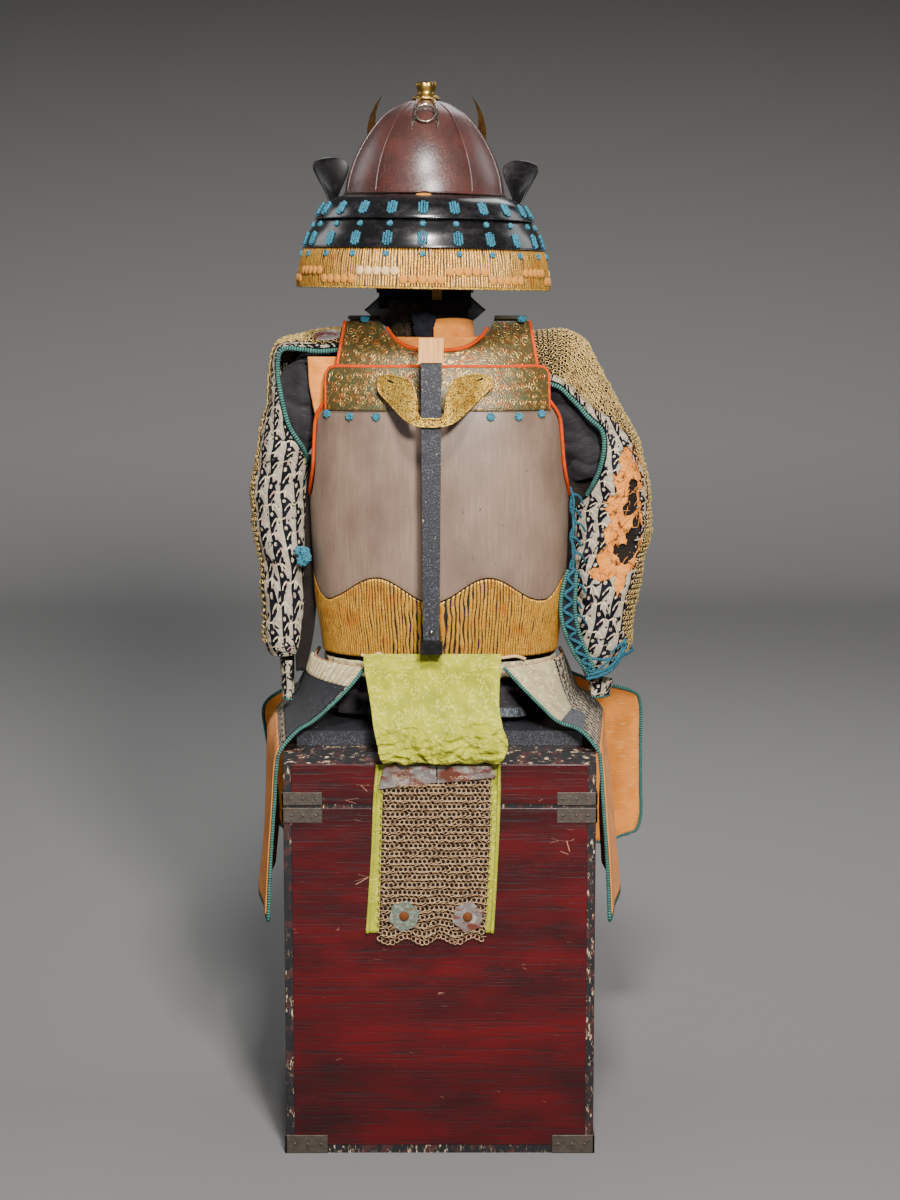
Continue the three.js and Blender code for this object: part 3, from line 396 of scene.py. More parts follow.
# Braided cord: bands of plaited strands slanting across its length, with painted shade spots in the strand
# gaps.
def makeBraid(name, first, second, band=3.2, share=0.5, roughness=0.7, gap=0.3):
    material, tree, shader = newFinish(name, roughness, Specular_IOR_Level=0.2)
    place = placeOn(tree, cloth=True)
    bands = addNode(tree, "ShaderNodeTexWave", {"Vector": place, "Scale": 0.314 / band}, bands_direction="Y")
    level = addNode(tree, "ShaderNodeMapRange", {"Value": bands.outputs[0], "From Min": share - 0.12,
                                                 "From Max": share + 0.12}).outputs[0]
    plait = addNode(tree, "ShaderNodeTexWave", {"Vector": place, "Scale": 0.314 / 1.4},
                    bands_direction="DIAGONAL")
    dust = patches(tree, placeOn(tree), 14, 0.45, 0.7)
    # painted shade: near-black spots stand for the shade in the gaps between strands, as strong as gap says
    strandGapShade = patches(tree, placeOn(tree), 2.4, 0.5, 0.62, 2)
    colour = coats(tree, first, (level, second), (joined(tree, "MULTIPLY", strandGapShade, gap), "#0a1216"),
                   (joined(tree, "MULTIPLY", dust, 0.35), "#1d1b1c"))
    linkTo(tree, shader, Base_Color=colour)
    relief(tree, shader, (plait.outputs[0], 0.6))
    return material


# A silk damask: the figure is woven in the same colour and shows by its gloss, also painted on as a lighter
# colour, a painted sheen; crumpled places are lighter.
def makeDamask(name, base, shade, light, pitch=34, strength=0.5):
    material, tree, shader = newFinish(name, 0.55, Sheen_Weight=0.1, Sheen_Roughness=0.4,
                                       Specular_IOR_Level=0.35)
    place = placeOn(tree, cloth=True)
    vines = patches(tree, placeOn(tree, cloth=True), pitch * 0.16, 0.49, 0.55, 1.5)
    sprays = patches(tree, placeOn(tree, (1, 0.7, 1), True, 0.6), pitch * 0.55, 0.44, 0.54, 2)
    figure = joined(tree, "MULTIPLY", vines, sprays)
    worn = patches(tree, place, 30, 0.42, 0.66, 6)
    # painted sheen: the figure is laid in the lighter colour for its gloss; on the silver-blue brocade the
    # pale figure is partly its own silver thread
    half = joined(tree, "MULTIPLY", figure, strength)
    linkTo(tree, shader, Base_Color=coats(tree, base, (worn, shade), (half, light)))
    rough = addNode(tree, "ShaderNodeMapRange", {"Value": figure, "To Min": 0.6, "To Max": 0.4}).outputs[0]
    linkTo(tree, shader, Roughness=rough)
    relief(tree, shader, (weave(tree, 1.3), 0.2), (figure, 0.15))
    return material


# One cell of the brocade, charted in millimetres: sprays of leaves (x, y, turn, length, width), the
# vine (middle, swing, line width) that winds up between them, and round flowers (x, y, radius). Odd columns
# drop by half.
brocade = {
    "cell": (20, 34),
    "leaves": ((11.4, 27.6, 42, 8.0, 2.0), (7.2, 29.6, 98, 8.6, 2.1), (3.2, 27.0, 158, 7.4, 1.9),
               (9.4, 9.8, 138, 8.0, 2.0), (13.4, 11.8, 82, 8.6, 2.1), (17.0, 8.6, 22, 7.0, 1.9),
               (15.4, 32.0, 60, 5.6, 1.6), (4.4, 14.6, 120, 5.6, 1.6)),
    "vine": (10.2, 4.6, 0.42),
    "flowers": ((15.6, 20.6, 2.3), (5.0, 3.6, 2.0)),
}


# Distance from a spot of the cell, measured across a leaf as if it were round.
def spotDistance(tree, place, x, y, turn=0.0, long=1.0, wide=1.0):
    spot = addNode(tree, "ShaderNodeMapping", {"Vector": place, "Location": (x, y, 0),
                                               "Rotation": (0, 0, math.radians(turn)),
                                               "Scale": (long, wide, 1)},
                   vector_type="TEXTURE")
    return addNode(tree, "ShaderNodeVectorMath", {0: spot.outputs[0]}, operation="LENGTH").outputs["Value"]


# Silk brocade: cream and rose figures float over a near-black blue twill, so the ground is dull and they
# shine.
def makeBrocade(name="navySilkBrocade", ground="#0b0c16", worn="#1a1b26"):
    material, tree, shader = newFinish(name, 0.75, Specular_IOR_Level=0.12)
    cloth = placeOn(tree, (1, 1, 0), True)
    sway = addNode(tree, "ShaderNodeTexNoise", {"Vector": cloth, "Scale": 1 / 33, "Detail": 0.0}).outputs[1]
    drawn = addNode(tree, "ShaderNodeVectorMath", {0: sway, 1: (7.0, 7.0, 0.0), 2: cloth},
                    operation="MULTIPLY_ADD")
    wide, tall = brocade["cell"]
    split = addNode(tree, "ShaderNodeSeparateXYZ", {0: drawn.outputs[0]})
    column = addNode(tree, "ShaderNodeMath", {0: split.outputs[0], 1: wide}, operation="DIVIDE").outputs[0]
    column = addNode(tree, "ShaderNodeMath", {0: column}, operation="FLOOR").outputs[0]
    odd = addNode(tree, "ShaderNodeMath", {0: column, 1: 2.0}, operation="MODULO").outputs[0]
    dropped = addNode(tree, "ShaderNodeMath", {0: odd, 1: tall / 2, 2: split.outputs[1]},
                      operation="MULTIPLY_ADD")
    spread = addNode(tree, "ShaderNodeCombineXYZ", {0: split.outputs[0], 1: dropped.outputs[0]}).outputs[0]
    place = addNode(tree, "ShaderNodeVectorMath", {0: spread, 1: (wide, tall, 1)},
                    operation="MODULO").outputs[0]
    leafMask = flowerMask = None
    for x, y, turn, long, thick in brocade["leaves"]:
        reach = spotDistance(tree, place, x, y, turn, long / 2, thick / 2)
        inside = addNode(tree, "ShaderNodeMapRange", {"Value": reach, "From Min": 1.12,
                                                      "From Max": 0.9}).outputs[0]
        leafMask = inside if leafMask is None else joined(tree, "MAXIMUM", leafMask, inside)
    spot = addNode(tree, "ShaderNodeSeparateXYZ", {0: place})
    middle, swing, thick = brocade["vine"]
    winding = addNode(tree, "ShaderNodeMath", {0: spot.outputs[1], 1: 2 * math.pi / tall},
                      operation="MULTIPLY").outputs[0]
    winding = addNode(tree, "ShaderNodeMath", {0: winding}, operation="SINE").outputs[0]
    winding = addNode(tree, "ShaderNodeMath", {0: winding, 1: swing, 2: middle},
                      operation="MULTIPLY_ADD").outputs[0]
    aside = joined(tree, "SUBTRACT", spot.outputs[0], winding)
    line = addNode(tree, "ShaderNodeMath", {0: aside}, operation="ABSOLUTE").outputs[0]
    vineMask = addNode(tree, "ShaderNodeMapRange", {"Value": line, "From Min": thick + 0.25,
                                                    "From Max": thick - 0.2}).outputs[0]
    for x, y, radius in brocade["flowers"]:
        reach = spotDistance(tree, place, x, y)
        inside = addNode(tree, "ShaderNodeMapRange", {"Value": reach, "From Min": radius + 0.2,
                                                      "From Max": radius - 0.2}).outputs[0]
        flowerMask = inside if flowerMask is None else joined(tree, "MAXIMUM", flowerMask, inside)
    opened = patches(tree, cloth, 9, 0.36, 0.42, 1)  # the vine is worn through here and there
    gone = patches(tree, cloth, 16, 0.33, 0.46, 4)  # figures worn away in places
    rubbed = patches(tree, cloth, 42, 0.5, 0.66)
    rose = patches(tree, cloth, 15, 0.54, 0.6, 1)
    petals = patches(tree, cloth, 1.6, 0.38, 0.5, 1)
    figureColour = coats(tree, "#dcccab", (rose, "#c39c92"))
    flowerColour = coats(tree, "#77685a", (petals, "#cdb9a0"))
    colour = coats(tree, ground, (rubbed, worn), (joined(tree, "MULTIPLY", vineMask, opened), "#a39a88"),
                   (joined(tree, "MULTIPLY", flowerMask, gone), flowerColour),
                   (joined(tree, "MULTIPLY", leafMask, gone), figureColour))
    linkTo(tree, shader, Base_Color=colour)
    relief(tree, shader, (weave(tree, 1.1), 0.2), (leafMask, 0.2))
    return material


finishes = dict(
    redLacquer=makeRedLacquer(), chippedBlack=makeChippedBlack(), blackWood=makeBlackWood(),
    tanWood=makeTanWood(), russetIron=makeRussetIron(), blackLacquer=makeBlackLacquer(),
    goldBark=makeGoldBark(), brass=makeBrass(), taupeLacquer=makeTaupeLacquer(),
    steelBar=makeBrass("polishedSilverBar", "#a89b8c", "#5d4f44", 0.24),
    darkBronze=makeBrass("darkBronzeSheet", "#251809", "#160f06", 0.5),
    dullBlack=makeBlackLacquer("rubbedBlackUrushi", 0.42, 0.15),
    leather=makeEmbossedLeather(), giltScroll=makeGiltScroll(), goldCrumb=makeGoldCrumb(),
    dotCream=makeCloth("creamDeerskin", "#e2c08c", "#cca168", "#f2dcb4", 1.4, 0.8),
    dotOrange=makeCloth("orangeDeerskin", "#cc8a34", "#b47024", "#e0a85c", 1.4, 0.8),
    bossLeather=makeCloth("brownLeatherBoss", "#6f3c14", "#4a260e", "#935a28", 1.4, 0.7),
    strapLeather=makeCloth("darkShoulderLeather", "#3a3420", "#2b2718", "#4d472c", 1.4, 0.8),
    fadedGold=makeCloth("fadedGoldThread", "#5a4728", "#43341d", "#71592f", 1.4, 0.8),
    iron=makeIron(), rustyIron=makeRustyIron(),
    verdigris=makeVerdigris(), brocade=makeBrocade(),
    mail=makeBrass("giltBrassRings", "#e2c27c", "#94733c", 0.42, 0.5, 0.52),
    rustyMail=makeBrass("rustedIronRings", "#bb9b76", "#735338", 0.6, 0.25, 0.45),
    orangeCord=makeBraid("orangeSilkPiping", "#f05208", "#d24406", 2.4, gap=0.12),
    blueCord=makeBraid("blueSilkBraid", "#3a7f95", "#1b4a5a", 2.6, gap=0.6),
    greenBraid=makeBraid("greenStripedBraid", "#18443e", "#5a9085", 3.6, 0.56),
    cotton=makeCloth("charcoalCotton", "#2c2a2e", "#201f22", "#403d42"),
    linen=makeCloth("tanHempLinen", "#eb923c", "#d67e2c", "#f8b66c", 1.7),
    stainedLinen=makeCloth("stainedHempLinen", "#f29a3e", "#d87a28", "#fcbe78", 1.5, stain="#53260e"),
    indigo=makeCloth("indigoCotton", "#181b24", "#0d0f15", "#3d444f", 1.6, patchSize=14),
    sootBlack=makeCloth("blackHempBacking", "#1d1612", "#120e0c", "#33271f", 1.8),
    creamSilk=makeDamask("creamSilkDamask", "#b8a980", "#9a8c68", "#ddd0a8", 40, 0.7),
    greenDamask=makeDamask("greenSilkDamask", "#a6a81c", "#878c14", "#d8d052", 24, 0.6),
    silverSilk=makeDamask("silverBlueBrocade", "#2b3340", "#141922", "#8e9494", 9, 0.6),
)
print("finishes made")

# Shaping tools.


# The row of a table at a place between its rows, eased through its neighbours.
def rowAt(rows, at):
    last = len(rows) - 1
    i = max(0, min(last - 1, sum(row[0] < at for row in rows) - 1))
    before, low, high, after = rows[max(i - 1, 0)], rows[i], rows[i + 1], rows[min(i + 2, last)]
    span = high[0] - low[0]
    t = max(0.0, min(1.0, (at - low[0]) / span))
    values = [at]
    for k in range(1, len(low)):
        slopeLow = (high[k] - before[k]) / (high[0] - before[0]) * span
        slopeHigh = (after[k] - low[k]) / (after[0] - low[0]) * span
        values.append((2 * t ** 3 - 3 * t ** 2 + 1) * low[k] + (t ** 3 - 2 * t ** 2 + t) * slopeLow
                      + (3 * t ** 2 - 2 * t ** 3) * high[k] + (t ** 3 - t ** 2) * slopeHigh)
    return values


# The same for a table whose rows simply follow each other; share runs from 0 to 1 over them all.
def rowAlong(rows, share):
    steps = [(i, *row) for i, row in enumerate(rows)]
    return rowAt(steps, share * (len(rows) - 1))[1:]


def mix(a, b, t):
    return a + (b - a) * t


def ease(value, low, high):
    t = max(0.0, min(1.0, (value - low) / (high - low)))
    return t * t * (3 - 2 * t)


def point(x, y, z):
    return Vector((x, y, z)) * mm


# A bmesh that keeps a cloth map in metres and a ridge value on its points.
def newShape():
    bm = bmesh.new()
    bm.loops.layers.uv.new("cloth")
    bm.verts.layers.float.new("ridge")
    return bm


# Lays a grid and moves it onto a surface(across, up); size is the flat sheet in millimetres.
def layGrid(bm, surface, across, up, size=(100, 100), ring=False, ridgeAt=None, trueWidth=None):
    uvs = bm.loops.layers.uv["cloth"]
    ridge = bm.verts.layers.float["ridge"]
    made = bmesh.ops.create_grid(bm, x_segments=across, y_segments=up, size=0.5)["verts"]
    faces = {face for vert in made for face in vert.link_faces}
    for face in faces:
        for loop in face.loops:
            spot = loop.vert.co
            wide = trueWidth(spot.y + 0.5) if trueWidth else size[0]
            loop[uvs].uv = ((spot.x * wide + size[0] / 2) * mm, (spot.y + 0.5) * size[1] * mm)
    for vert in made:
        u, w = min(1.0, max(0.0, vert.co.x + 0.5)), min(1.0, max(0.0, vert.co.y + 0.5))
        if ridgeAt:
            vert[ridge] = ridgeAt(u, w)
        vert.co = surface(u, w)
    if ring:
        bmesh.ops.remove_doubles(bm, verts=made, dist=1e-6)
    return made


# Turns a shape into a piece: its finish, wall, rounded edges and CAD body; the slot name is not used.
def piece(name, bm, material, slotName, wall=0.0, edge=0.0, smooth=True, body="root", nodes=(), offset=0.0,
          outward=False):
    if outward:
        bmesh.ops.recalc_face_normals(bm, faces=bm.faces)
    mesh = bpy.data.meshes.new(name)
    bm.to_mesh(mesh)
    bm.free()
    made = bpy.data.objects.new(name, mesh)
    bpy.context.scene.collection.objects.link(made)
    for poly in mesh.polygons:
        poly.use_smooth = smooth
    mesh.materials.append(finishes[material])
    if wall:
        thick = made.modifiers.new("wall", "SOLIDIFY")
        thick.thickness, thick.offset = wall * mm, offset
    if edge:
        rounded = made.modifiers.new("edge", "BEVEL")
        rounded.width, rounded.segments, rounded.limit_method = edge * mm, 2, "ANGLE"
        rounded.angle_limit = math.radians(40)
    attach(made, body)
    if nodes:
        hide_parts(*nodes)
    return made


# A piece that is one sheet laid on a surface.
def sheetPiece(name, surface, across, up, size, *finish, ring=False, ridgeAt=None, **settings):
    bm = newShape()
    layGrid(bm, surface, across, up, size, ring=ring, ridgeAt=ridgeAt)
    return piece(name, bm, *finish, **settings)


# A piece that is one small mesh at every place of a list.
def stampPiece(name, mesh, places, *finish, **settings):
    bm = newShape()
    stamp(bm, mesh, places)
    return piece(name, bm, *finish, **settings)


# A CAD node kept as it is, with a finish of its own.
def dress(node, material):
    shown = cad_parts[node]
    shown.data.materials.clear()
    shown.data.materials.append(finishes[material])
    return shown


# Smooth line through points, sampled evenly; gives its points and its length.
def smoothLine(points, count):
    steps = [(i, *p) for i, p in enumerate(points)]
    fine = [Vector(rowAt(steps, (len(points) - 1) * i / (count * 4))[1:]) for i in range(count * 4 + 1)]
    lengths = [0.0]
    for a, b in zip(fine, fine[1:]):
        lengths.append(lengths[-1] + (b - a).length)
    total = lengths[-1]
    line, k = [], 0
    for i in range(count + 1):
        goal = total * i / count
        while k < len(fine) - 2 and lengths[k + 1] < goal:
            k += 1
        part = (goal - lengths[k]) / max(lengths[k + 1] - lengths[k], 1e-9)
        line.append(fine[k].lerp(fine[k + 1], max(0.0, min(1.0, part))))
    return line, total


# A round or flattened cord along a line given in millimetres; up is the side that is flattened.
def layCord(bm, points, radius, around=8, count=40, flat=1.0, up=None, taper=None):
    line, total = smoothLine(points, count)
    normals, normal = [], None
    for i in range(len(line)):
        along = (line[min(i + 1, count)] - line[max(i - 1, 0)]).normalized()
        guide = Vector(up) if up is not None else (normal or along.orthogonal())
        normal = (guide - along * guide.dot(along)).normalized()
        normals.append((normal, along.cross(normal)))

    def surface(u, w):
        i = min(int(w * count + 0.5), count)
        out, beside = normals[i]
        turn = -2 * math.pi * u
        wide = radius * (taper(w) if taper else 1.0)
        return (line[i] + out * (wide * flat * math.cos(turn)) + beside * (wide * math.sin(turn))) * mm

    return layGrid(bm, surface, around, count, (2 * math.pi * radius, total), ring=True)


# Closes the open ends of every tube in a shape.
def closeEnds(bm):
    bmesh.ops.holes_fill(bm, edges=[edge for edge in bm.edges if edge.is_boundary], sides=0)


# A block with its corners at low and high, in millimetres.
def layBlock(bm, low, high, edge=0.0, segments=2):
    made = bmesh.ops.create_cube(bm, size=1.0)["verts"]
    for vert in made:
        vert.co = Vector([mix(low[k], high[k], vert.co[k] + 0.5) * mm for k in range(3)])
    if edge:
        edges = list({e for vert in made for e in vert.link_edges})
        bmesh.ops.bevel(bm, geom=edges, offset=edge * mm, affect="EDGES", segments=segments, profile=0.5,
                        material=-1)
    return made


# Copies one small mesh to every place of a list, each place a matrix.
def stamp(bm, mesh, places):
    for place in places:
        mesh.transform(place)
        bm.from_mesh(mesh)
        mesh.transform(place.inverted())


def stampMesh(name, build):
    bm = newShape()
    build(bm)
    mesh = bpy.data.meshes.new(name)
    bm.to_mesh(mesh)
    bm.free()
    return mesh


# Where a small thing sits on a surface: along it, up it and out of it, raised by lift millimetres.
def seat(surface, u, w, lift=0.0, turn=0.0, step=0.004):
    here = surface(u, w)
    along = (surface(min(u + step, 1), w) - surface(max(u - step, 0), w)).normalized()
    up = surface(u, min(w + step, 1)) - surface(u, max(w - step, 0))
    up = (up - along * up.dot(along)).normalized()
    out = along.cross(up)
    spot = Matrix((along, up, out)).transposed().to_4x4()
    spot.translation = here + out * lift * mm
    return spot @ Matrix.Rotation(turn, 4, "Z")


def domeStamp(name, radius, height, around=8):
    def build(bm):
        bmesh.ops.create_uvsphere(bm, u_segments=around, v_segments=6, radius=1.0)
        bmesh.ops.bisect_plane(bm, geom=bm.verts[:] + bm.edges[:] + bm.faces[:], plane_co=(0, 0, -0.2),
                               plane_no=(0, 0, 1), clear_inner=True)
        closeEnds(bm)
        bmesh.ops.scale(bm, vec=(radius * mm, radius * mm, height * mm), verts=bm.verts)
    return stampMesh(name, build)


def ringStamp(name, radius, wire, around=8, sides=3):
    def build(bm):
        circle = bmesh.ops.create_circle(bm, segments=sides, radius=wire * mm)["verts"]
        bmesh.ops.rotate(bm, matrix=Matrix.Rotation(math.pi / 2, 3, "X"), verts=circle)
        bmesh.ops.translate(bm, vec=(radius * mm, 0, 0), verts=circle)
        bmesh.ops.spin(bm, geom=bm.verts[:] + bm.edges[:], axis=(0, 0, 1), angle=2 * math.pi, steps=around,
                       use_merge=True)
        bmesh.ops.recalc_face_normals(bm, faces=bm.faces)
    return stampMesh(name, build)


print("tools ready")

# Chest and stand.

chest = {"width": 420, "depth": 400, "bodyTop": 488, "boardTop": 545, "raised": 1.4, "border": 10.5,
         "panelLow": 12, "cornerWide": 52, "shoeTall": 26, "shoeWide": 56, "rivet": 2.3}
dress("chest_body", "chippedBlack")
dress("chest_lid", "chippedBlack")
dress("stand_base", "blackWood")
dress("stand_post", "tanWood")
dress("stand_bar", "tanWood")

# each side of the chest: half its width, its distance from the middle, and its turn about the upright
chestSides = (("Back", chest["width"] / 2, chest["depth"] / 2, 0),
              ("Right", chest["depth"] / 2, chest["width"] / 2, 90),
              ("Front", chest["width"] / 2, chest["depth"] / 2, 180),
              ("Left", chest["depth"] / 2, chest["width"] / 2, 270))
panels = newShape()
for sideName, half, away, turn in chestSides:
    def layBoards(bm, half=half, away=away):
        for low, high in ((chest["panelLow"], chest["bodyTop"] - 3),
                          (chest["bodyTop"] + 2.5, chest["boardTop"])):
            layBlock(bm, (-half + chest["border"], -away - chest["raised"], low),
                     (half - chest["border"], -away + 1, high), 0.8)
    stamp(panels, stampMesh("boards" + sideName, layBoards), [Matrix.Rotation(math.radians(turn), 4, "Z")])
piece("chestPanels", panels, "redLacquer", "red_lacquer", smooth=False)

# Iron angle plates: one on each corner of the body, of the lid, and a shoe at each foot; holes are bored for
# nails.
corners = newShape()
rivetStamp = domeStamp("rivet", chest["rivet"], 1.5, 8)
rivets = newShape()
for signX in (-1, 1):
    for signY in (-1, 1):
        for low, high, wide in ((0.3, chest["shoeTall"], chest["shoeWide"]),
                                (chest["bodyTop"] - 23, chest["bodyTop"] - 2.4, chest["cornerWide"]),
                                (chest["bodyTop"] + 1.2, chest["bodyTop"] + 19, chest["cornerWide"])):
            halfX, halfY = chest["width"] / 2, chest["depth"] / 2
            faceX = sorted((signX * (halfX - wide), signX * (halfX + 2.6)))
            faceY = sorted((signY * (halfY - 0.5), signY * (halfY + 2.6)))
            layBlock(corners, (faceX[0], faceY[0], low), (faceX[1], faceY[1], high), 0.7)
            sideX = sorted((signX * (halfX - 0.5), signX * (halfX + 2.6)))
            sideY = sorted((signY * (halfY - wide), signY * (halfY + 2.6)))
            layBlock(corners, (sideX[0], sideY[0], low), (sideX[1], sideY[1], high), 0.7)
            middle = (low + high) / 2
            for share in (0.2, 0.5, 0.84):
                onFace = Matrix.Translation(point(signX * (halfX - wide * share), signY * (halfY + 2.4),
                                                  middle))
                stamp(rivets, rivetStamp, [onFace @ Matrix.Rotation(signY * -math.pi / 2, 4, "X")])
                onSide = Matrix.Translation(point(signX * (halfX + 2.4), signY * (halfY - wide * share),
                                                  middle))
                stamp(rivets, rivetStamp, [onSide @ Matrix.Rotation(signX * math.pi / 2, 4, "Y")])
piece("chestCornerIrons", corners, "iron", "black_lacquer", smooth=False)
piece("chestRivets", rivets, "iron", "black_lacquer")
print("chest made")

# Cuirass.

torso = {"power": 2.5, "wall": 2.4, "bottom": 675, "waveLevel": 769, "waveHeight": 17, "waveLength": 152,
         "plateTop": 1025, "neckMiddle": -3.5, "gap": 0.8}
# height, half width, half depth, forward, middle
torsoRows = ((600, 156, 106, 0, 0), (668, 164, 113, 0, 0), (704, 168, 116, 0, 0), (740, 174, 119, 0, 0),
             (800, 178, 122, 0, 0), (882, 181, 124, 0, -0.8), (950, 182, 124, 0, -2), (1018, 180, 119, 0, -3),
             (1050, 176, 112, 3, -3.5), (1075, 172, 104, 6, -3.5), (1100, 168, 97, 14, -3.5),
             (1120, 164, 88, 28, -3.5), (1136, 160, 82, 44, -3.5))
armhole = ((885, 181), (900, 176.5), (930, 171), (957, 168.5), (985, 166.5), (1000, 164.5), (1012, 159),
           (1026, 149))
sideAngle = math.radians(89.8)


def squared(value):
    return math.copysign(abs(value) ** (2 / torso["power"]), value)


# Point of the torso's outline; angle 0 is the middle of the back, or of the front when front is set.
def torsoPoint(angle, z, out=0.0, front=False):
    _, half, deep, forward, middle = rowAt(torsoRows, z)
    y = forward - (deep + out) * squared(math.cos(angle))
    return point(middle + (half + out) * squared(math.sin(angle)), 2 * forward - y if front else y, z)


def torsoAngle(aside, z):
    share = aside / rowAt(torsoRows, z)[1]
    return math.asin(math.copysign(min(1, abs(share)) ** (torso["power"] / 2), share))


def waveHeight(angle):
    spot = torsoPoint(angle, torso["waveLevel"]) / mm
    fromSide = rowAt(torsoRows, torso["waveLevel"])[2] - abs(spot.y)
    along = spot.x + math.copysign(max(0, fromSide - 40) * 0.8, spot.x)
    turn = 2 * math.pi * (along + 10) / torso["waveLength"]
    return torso["waveLevel"] - torso["waveHeight"] * math.cos(turn)


def edgeAngle(z):
    if z <= armhole[0][0]:
        return sideAngle
    return min(sideAngle, torsoAngle(rowAt(armhole, z)[1], z))


def frontDip(turn):
    return torso["plateTop"] - 4 - 26 * max(0, math.cos(turn * 1.6)) ** 2


# A plate's surface between two lines of height; ripples raise it by a height in millimetres.
def plateSurface(lowAt, highAt, front, ripple=None):
    def surface(u, w):
        edge = edgeAngle(mix(lowAt(sideAngle), highAt(sideAngle), w))
        turn = mix(-edge, edge, 1 - u if front else u)
        z = mix(lowAt(turn), highAt(turn), w)
        return torsoPoint(turn, z, ripple(u, w) if ripple else 0.0, front)
    return surface


# Bark: upright ribs that wander, split and break off, as a height from 0 in the gaps to 1 on the ribs.
bark = {"pitch": 4.0, "height": 1.2, "wander": 1.3, "breakLength": 24}


def barkAt(along, up, seed):
    sway = noise.noise((along / 9, up / 34, seed)) + 0.5 * noise.noise((along / 4, up / 15, seed + 7))
    rib = math.sin(2 * math.pi * along / bark["pitch"] + bark["wander"] * 2 * sway)
    broken = noise.noise((along / 3.1, up / bark["breakLength"], seed + 3))
    return max(0.0, min(1.0, 0.57 + 0.62 * rib + 0.6 * broken))


backSpan = 464  # round the back of the waist, seam to seam
for facing in ("back", "front"):
    front = facing == "front"
    top = frontDip if front else (lambda turn: torso["plateTop"])
    sheetPiece(facing + "Plate", plateSurface(lambda turn: waveHeight(turn) + torso["gap"], top, front), 96,
               40, (backSpan, 250), "taupeLacquer", "taupe_lacquer", wall=torso["wall"], edge=0.8,
               nodes=(facing + "_plate",))
    lowLine, highLine = (lambda turn: torso["bottom"]), (lambda turn: waveHeight(turn) - torso["gap"])

    def hemBark(u, w, seed=5.0 if front else 1.0):
        return barkAt(u * backSpan, w * 100, seed)

    sheetPiece(facing + "Hem", plateSurface(lowLine, highLine, front, lambda u,
                                            w: bark["height"] * hemBark(u, w) - 0.4),
               700, 30, (backSpan, 100), "goldBark", "gold_bark", ridgeAt=hemBark, wall=torso["wall"],
               nodes=(facing + "_hem",))
print("plates made")

# Yokes of stamped leather, each bound at its ends by orange piping.
yoke = {"wall": 2.2, "lap": 3.6, "lowerBottom": 1014, "lowerTop": 1073, "lowerHalf": 149.5, "corner": 14,
        "upperBottom": 1062}
neckline = {"half": 77, "deep": 41, "shoulder": 1133, "edgeBottom": 138, "edgeTop": 127}


def lowerYoke(u, w, out=0.0):
    z = mix(yoke["lowerBottom"], yoke["lowerTop"], w)
    up = max(0.0, z - (yoke["lowerTop"] - yoke["corner"])) / yoke["corner"]
    half = yoke["lowerHalf"] - yoke["corner"] * (1 - math.sqrt(max(0.0, 1 - up * up)))
    return torsoPoint(torsoAngle(mix(-half, half, u), z), z, yoke["lap"] + out)


def necklineHeight(aside):
    share = abs(aside) / neckline["half"]
    if share >= 1:
        return neckline["shoulder"]
    return neckline["shoulder"] - neckline["deep"] * (1 - share ** 3.2) ** 0.8


def upperYoke(u, w, out=0.0):
    place = u * 2 - 1
    edge = mix(neckline["edgeBottom"], neckline["edgeTop"], w)
    z = mix(yoke["upperBottom"], necklineHeight(place * neckline["edgeTop"]), w)
    return torsoPoint(torsoAngle(place * edge, z), z, out)


scroll = {"pitch": 14.5, "radius": 6.0, "wire": 0.75, "flat": 0.8, "turns": 1.5}


# Arabesque of curling vines: each curl unwinds, crosses over and winds up again the other way as a smaller
# one.
def layScrolls(bm, surface, wide, tall, rows, margin=3):
    columns = round(wide / scroll["pitch"])
    spin = random.Random(rows)
    for j in range(rows):
        for i in range(columns):
            hand, leaning = spin.choice((-1, 1)), spin.uniform(0, 2 * math.pi)
            big = scroll["radius"] * spin.uniform(0.75, 1.15)
            small = big * spin.uniform(0.5, 0.8)
            middle = Vector(((i + 0.25 + 0.5 * (j % 2) + spin.uniform(-0.2, 0.2)) * wide / columns,
                             margin + (j + 0.5 + spin.uniform(-0.15, 0.15)) * (tall - 2 * margin) / rows))
            toward = Vector((math.cos(leaning), math.sin(leaning)))
            line = []
            for k in range(31):
                t = k / 15 - 1
                centre, radius = (middle, big) if t < 0 else (middle + toward * (big + small), small)
                turn = leaning + (0 if t < 0 else math.pi) + hand * 2 * math.pi * scroll["turns"] * (
                    t if t < 0 else -0.8 * t)
                reach = radius * (1 - 0.85 * abs(t))
                line.append(centre + reach * Vector((math.cos(turn), math.sin(turn))))
            spots = [seat(surface, spot.x / wide, spot.y / tall, 1.0).translation / mm for spot in line
                     if 0.015 < spot.x / wide < 0.985 and 0.04 < spot.y / tall < 0.96]
            if len(spots) > 8:
                layCord(bm, spots, scroll["wire"] * spin.uniform(0.9, 1.3), 4, 44, flat=scroll["flat"],
                        up=(0, -1, 0))


for name, surface, wide, tall, rows, node in (("yokeLower", lowerYoke, 299, 59, 3, "yoke_lower"),
                                              ("yokeUpper", upperYoke, 266, 70, 4, "yoke_upper")):
    sheetPiece(name, surface, 80, 18, (wide, tall), "leather", "embossed_leather", wall=yoke["wall"],
               edge=0.7, nodes=(node,))
    vines = newShape()
    layScrolls(vines, surface, wide, tall, rows)
    closeEnds(vines)
    piece(name + "Scrolls", vines, "giltScroll", "embossed_leather", outward=True)

# Straps over the shoulders, plain stamped leather.
strapPath = ((-36, 1136), (-14, 1138), (14, 1137), (40, 1130), (64, 1114), (86, 1090), (104, 1062),
             (117, 1036))
for side, name in ((-1, "Left"), (1, "Right")):
    def strapSurface(u, w, side=side):
        y, z = rowAlong(strapPath, w)
        x = mix(80, 124, u) if side > 0 else mix(-124, -80, u)
        return point(torso["neckMiddle"] + x, y + 12, z + 1.2)

    sheetPiece("shoulderStrap" + name, strapSurface, 6, 40, (44, 220), "strapLeather", "embossed_leather",
               wall=3, edge=1, nodes=("shoulder_strap_" + name.lower(),))

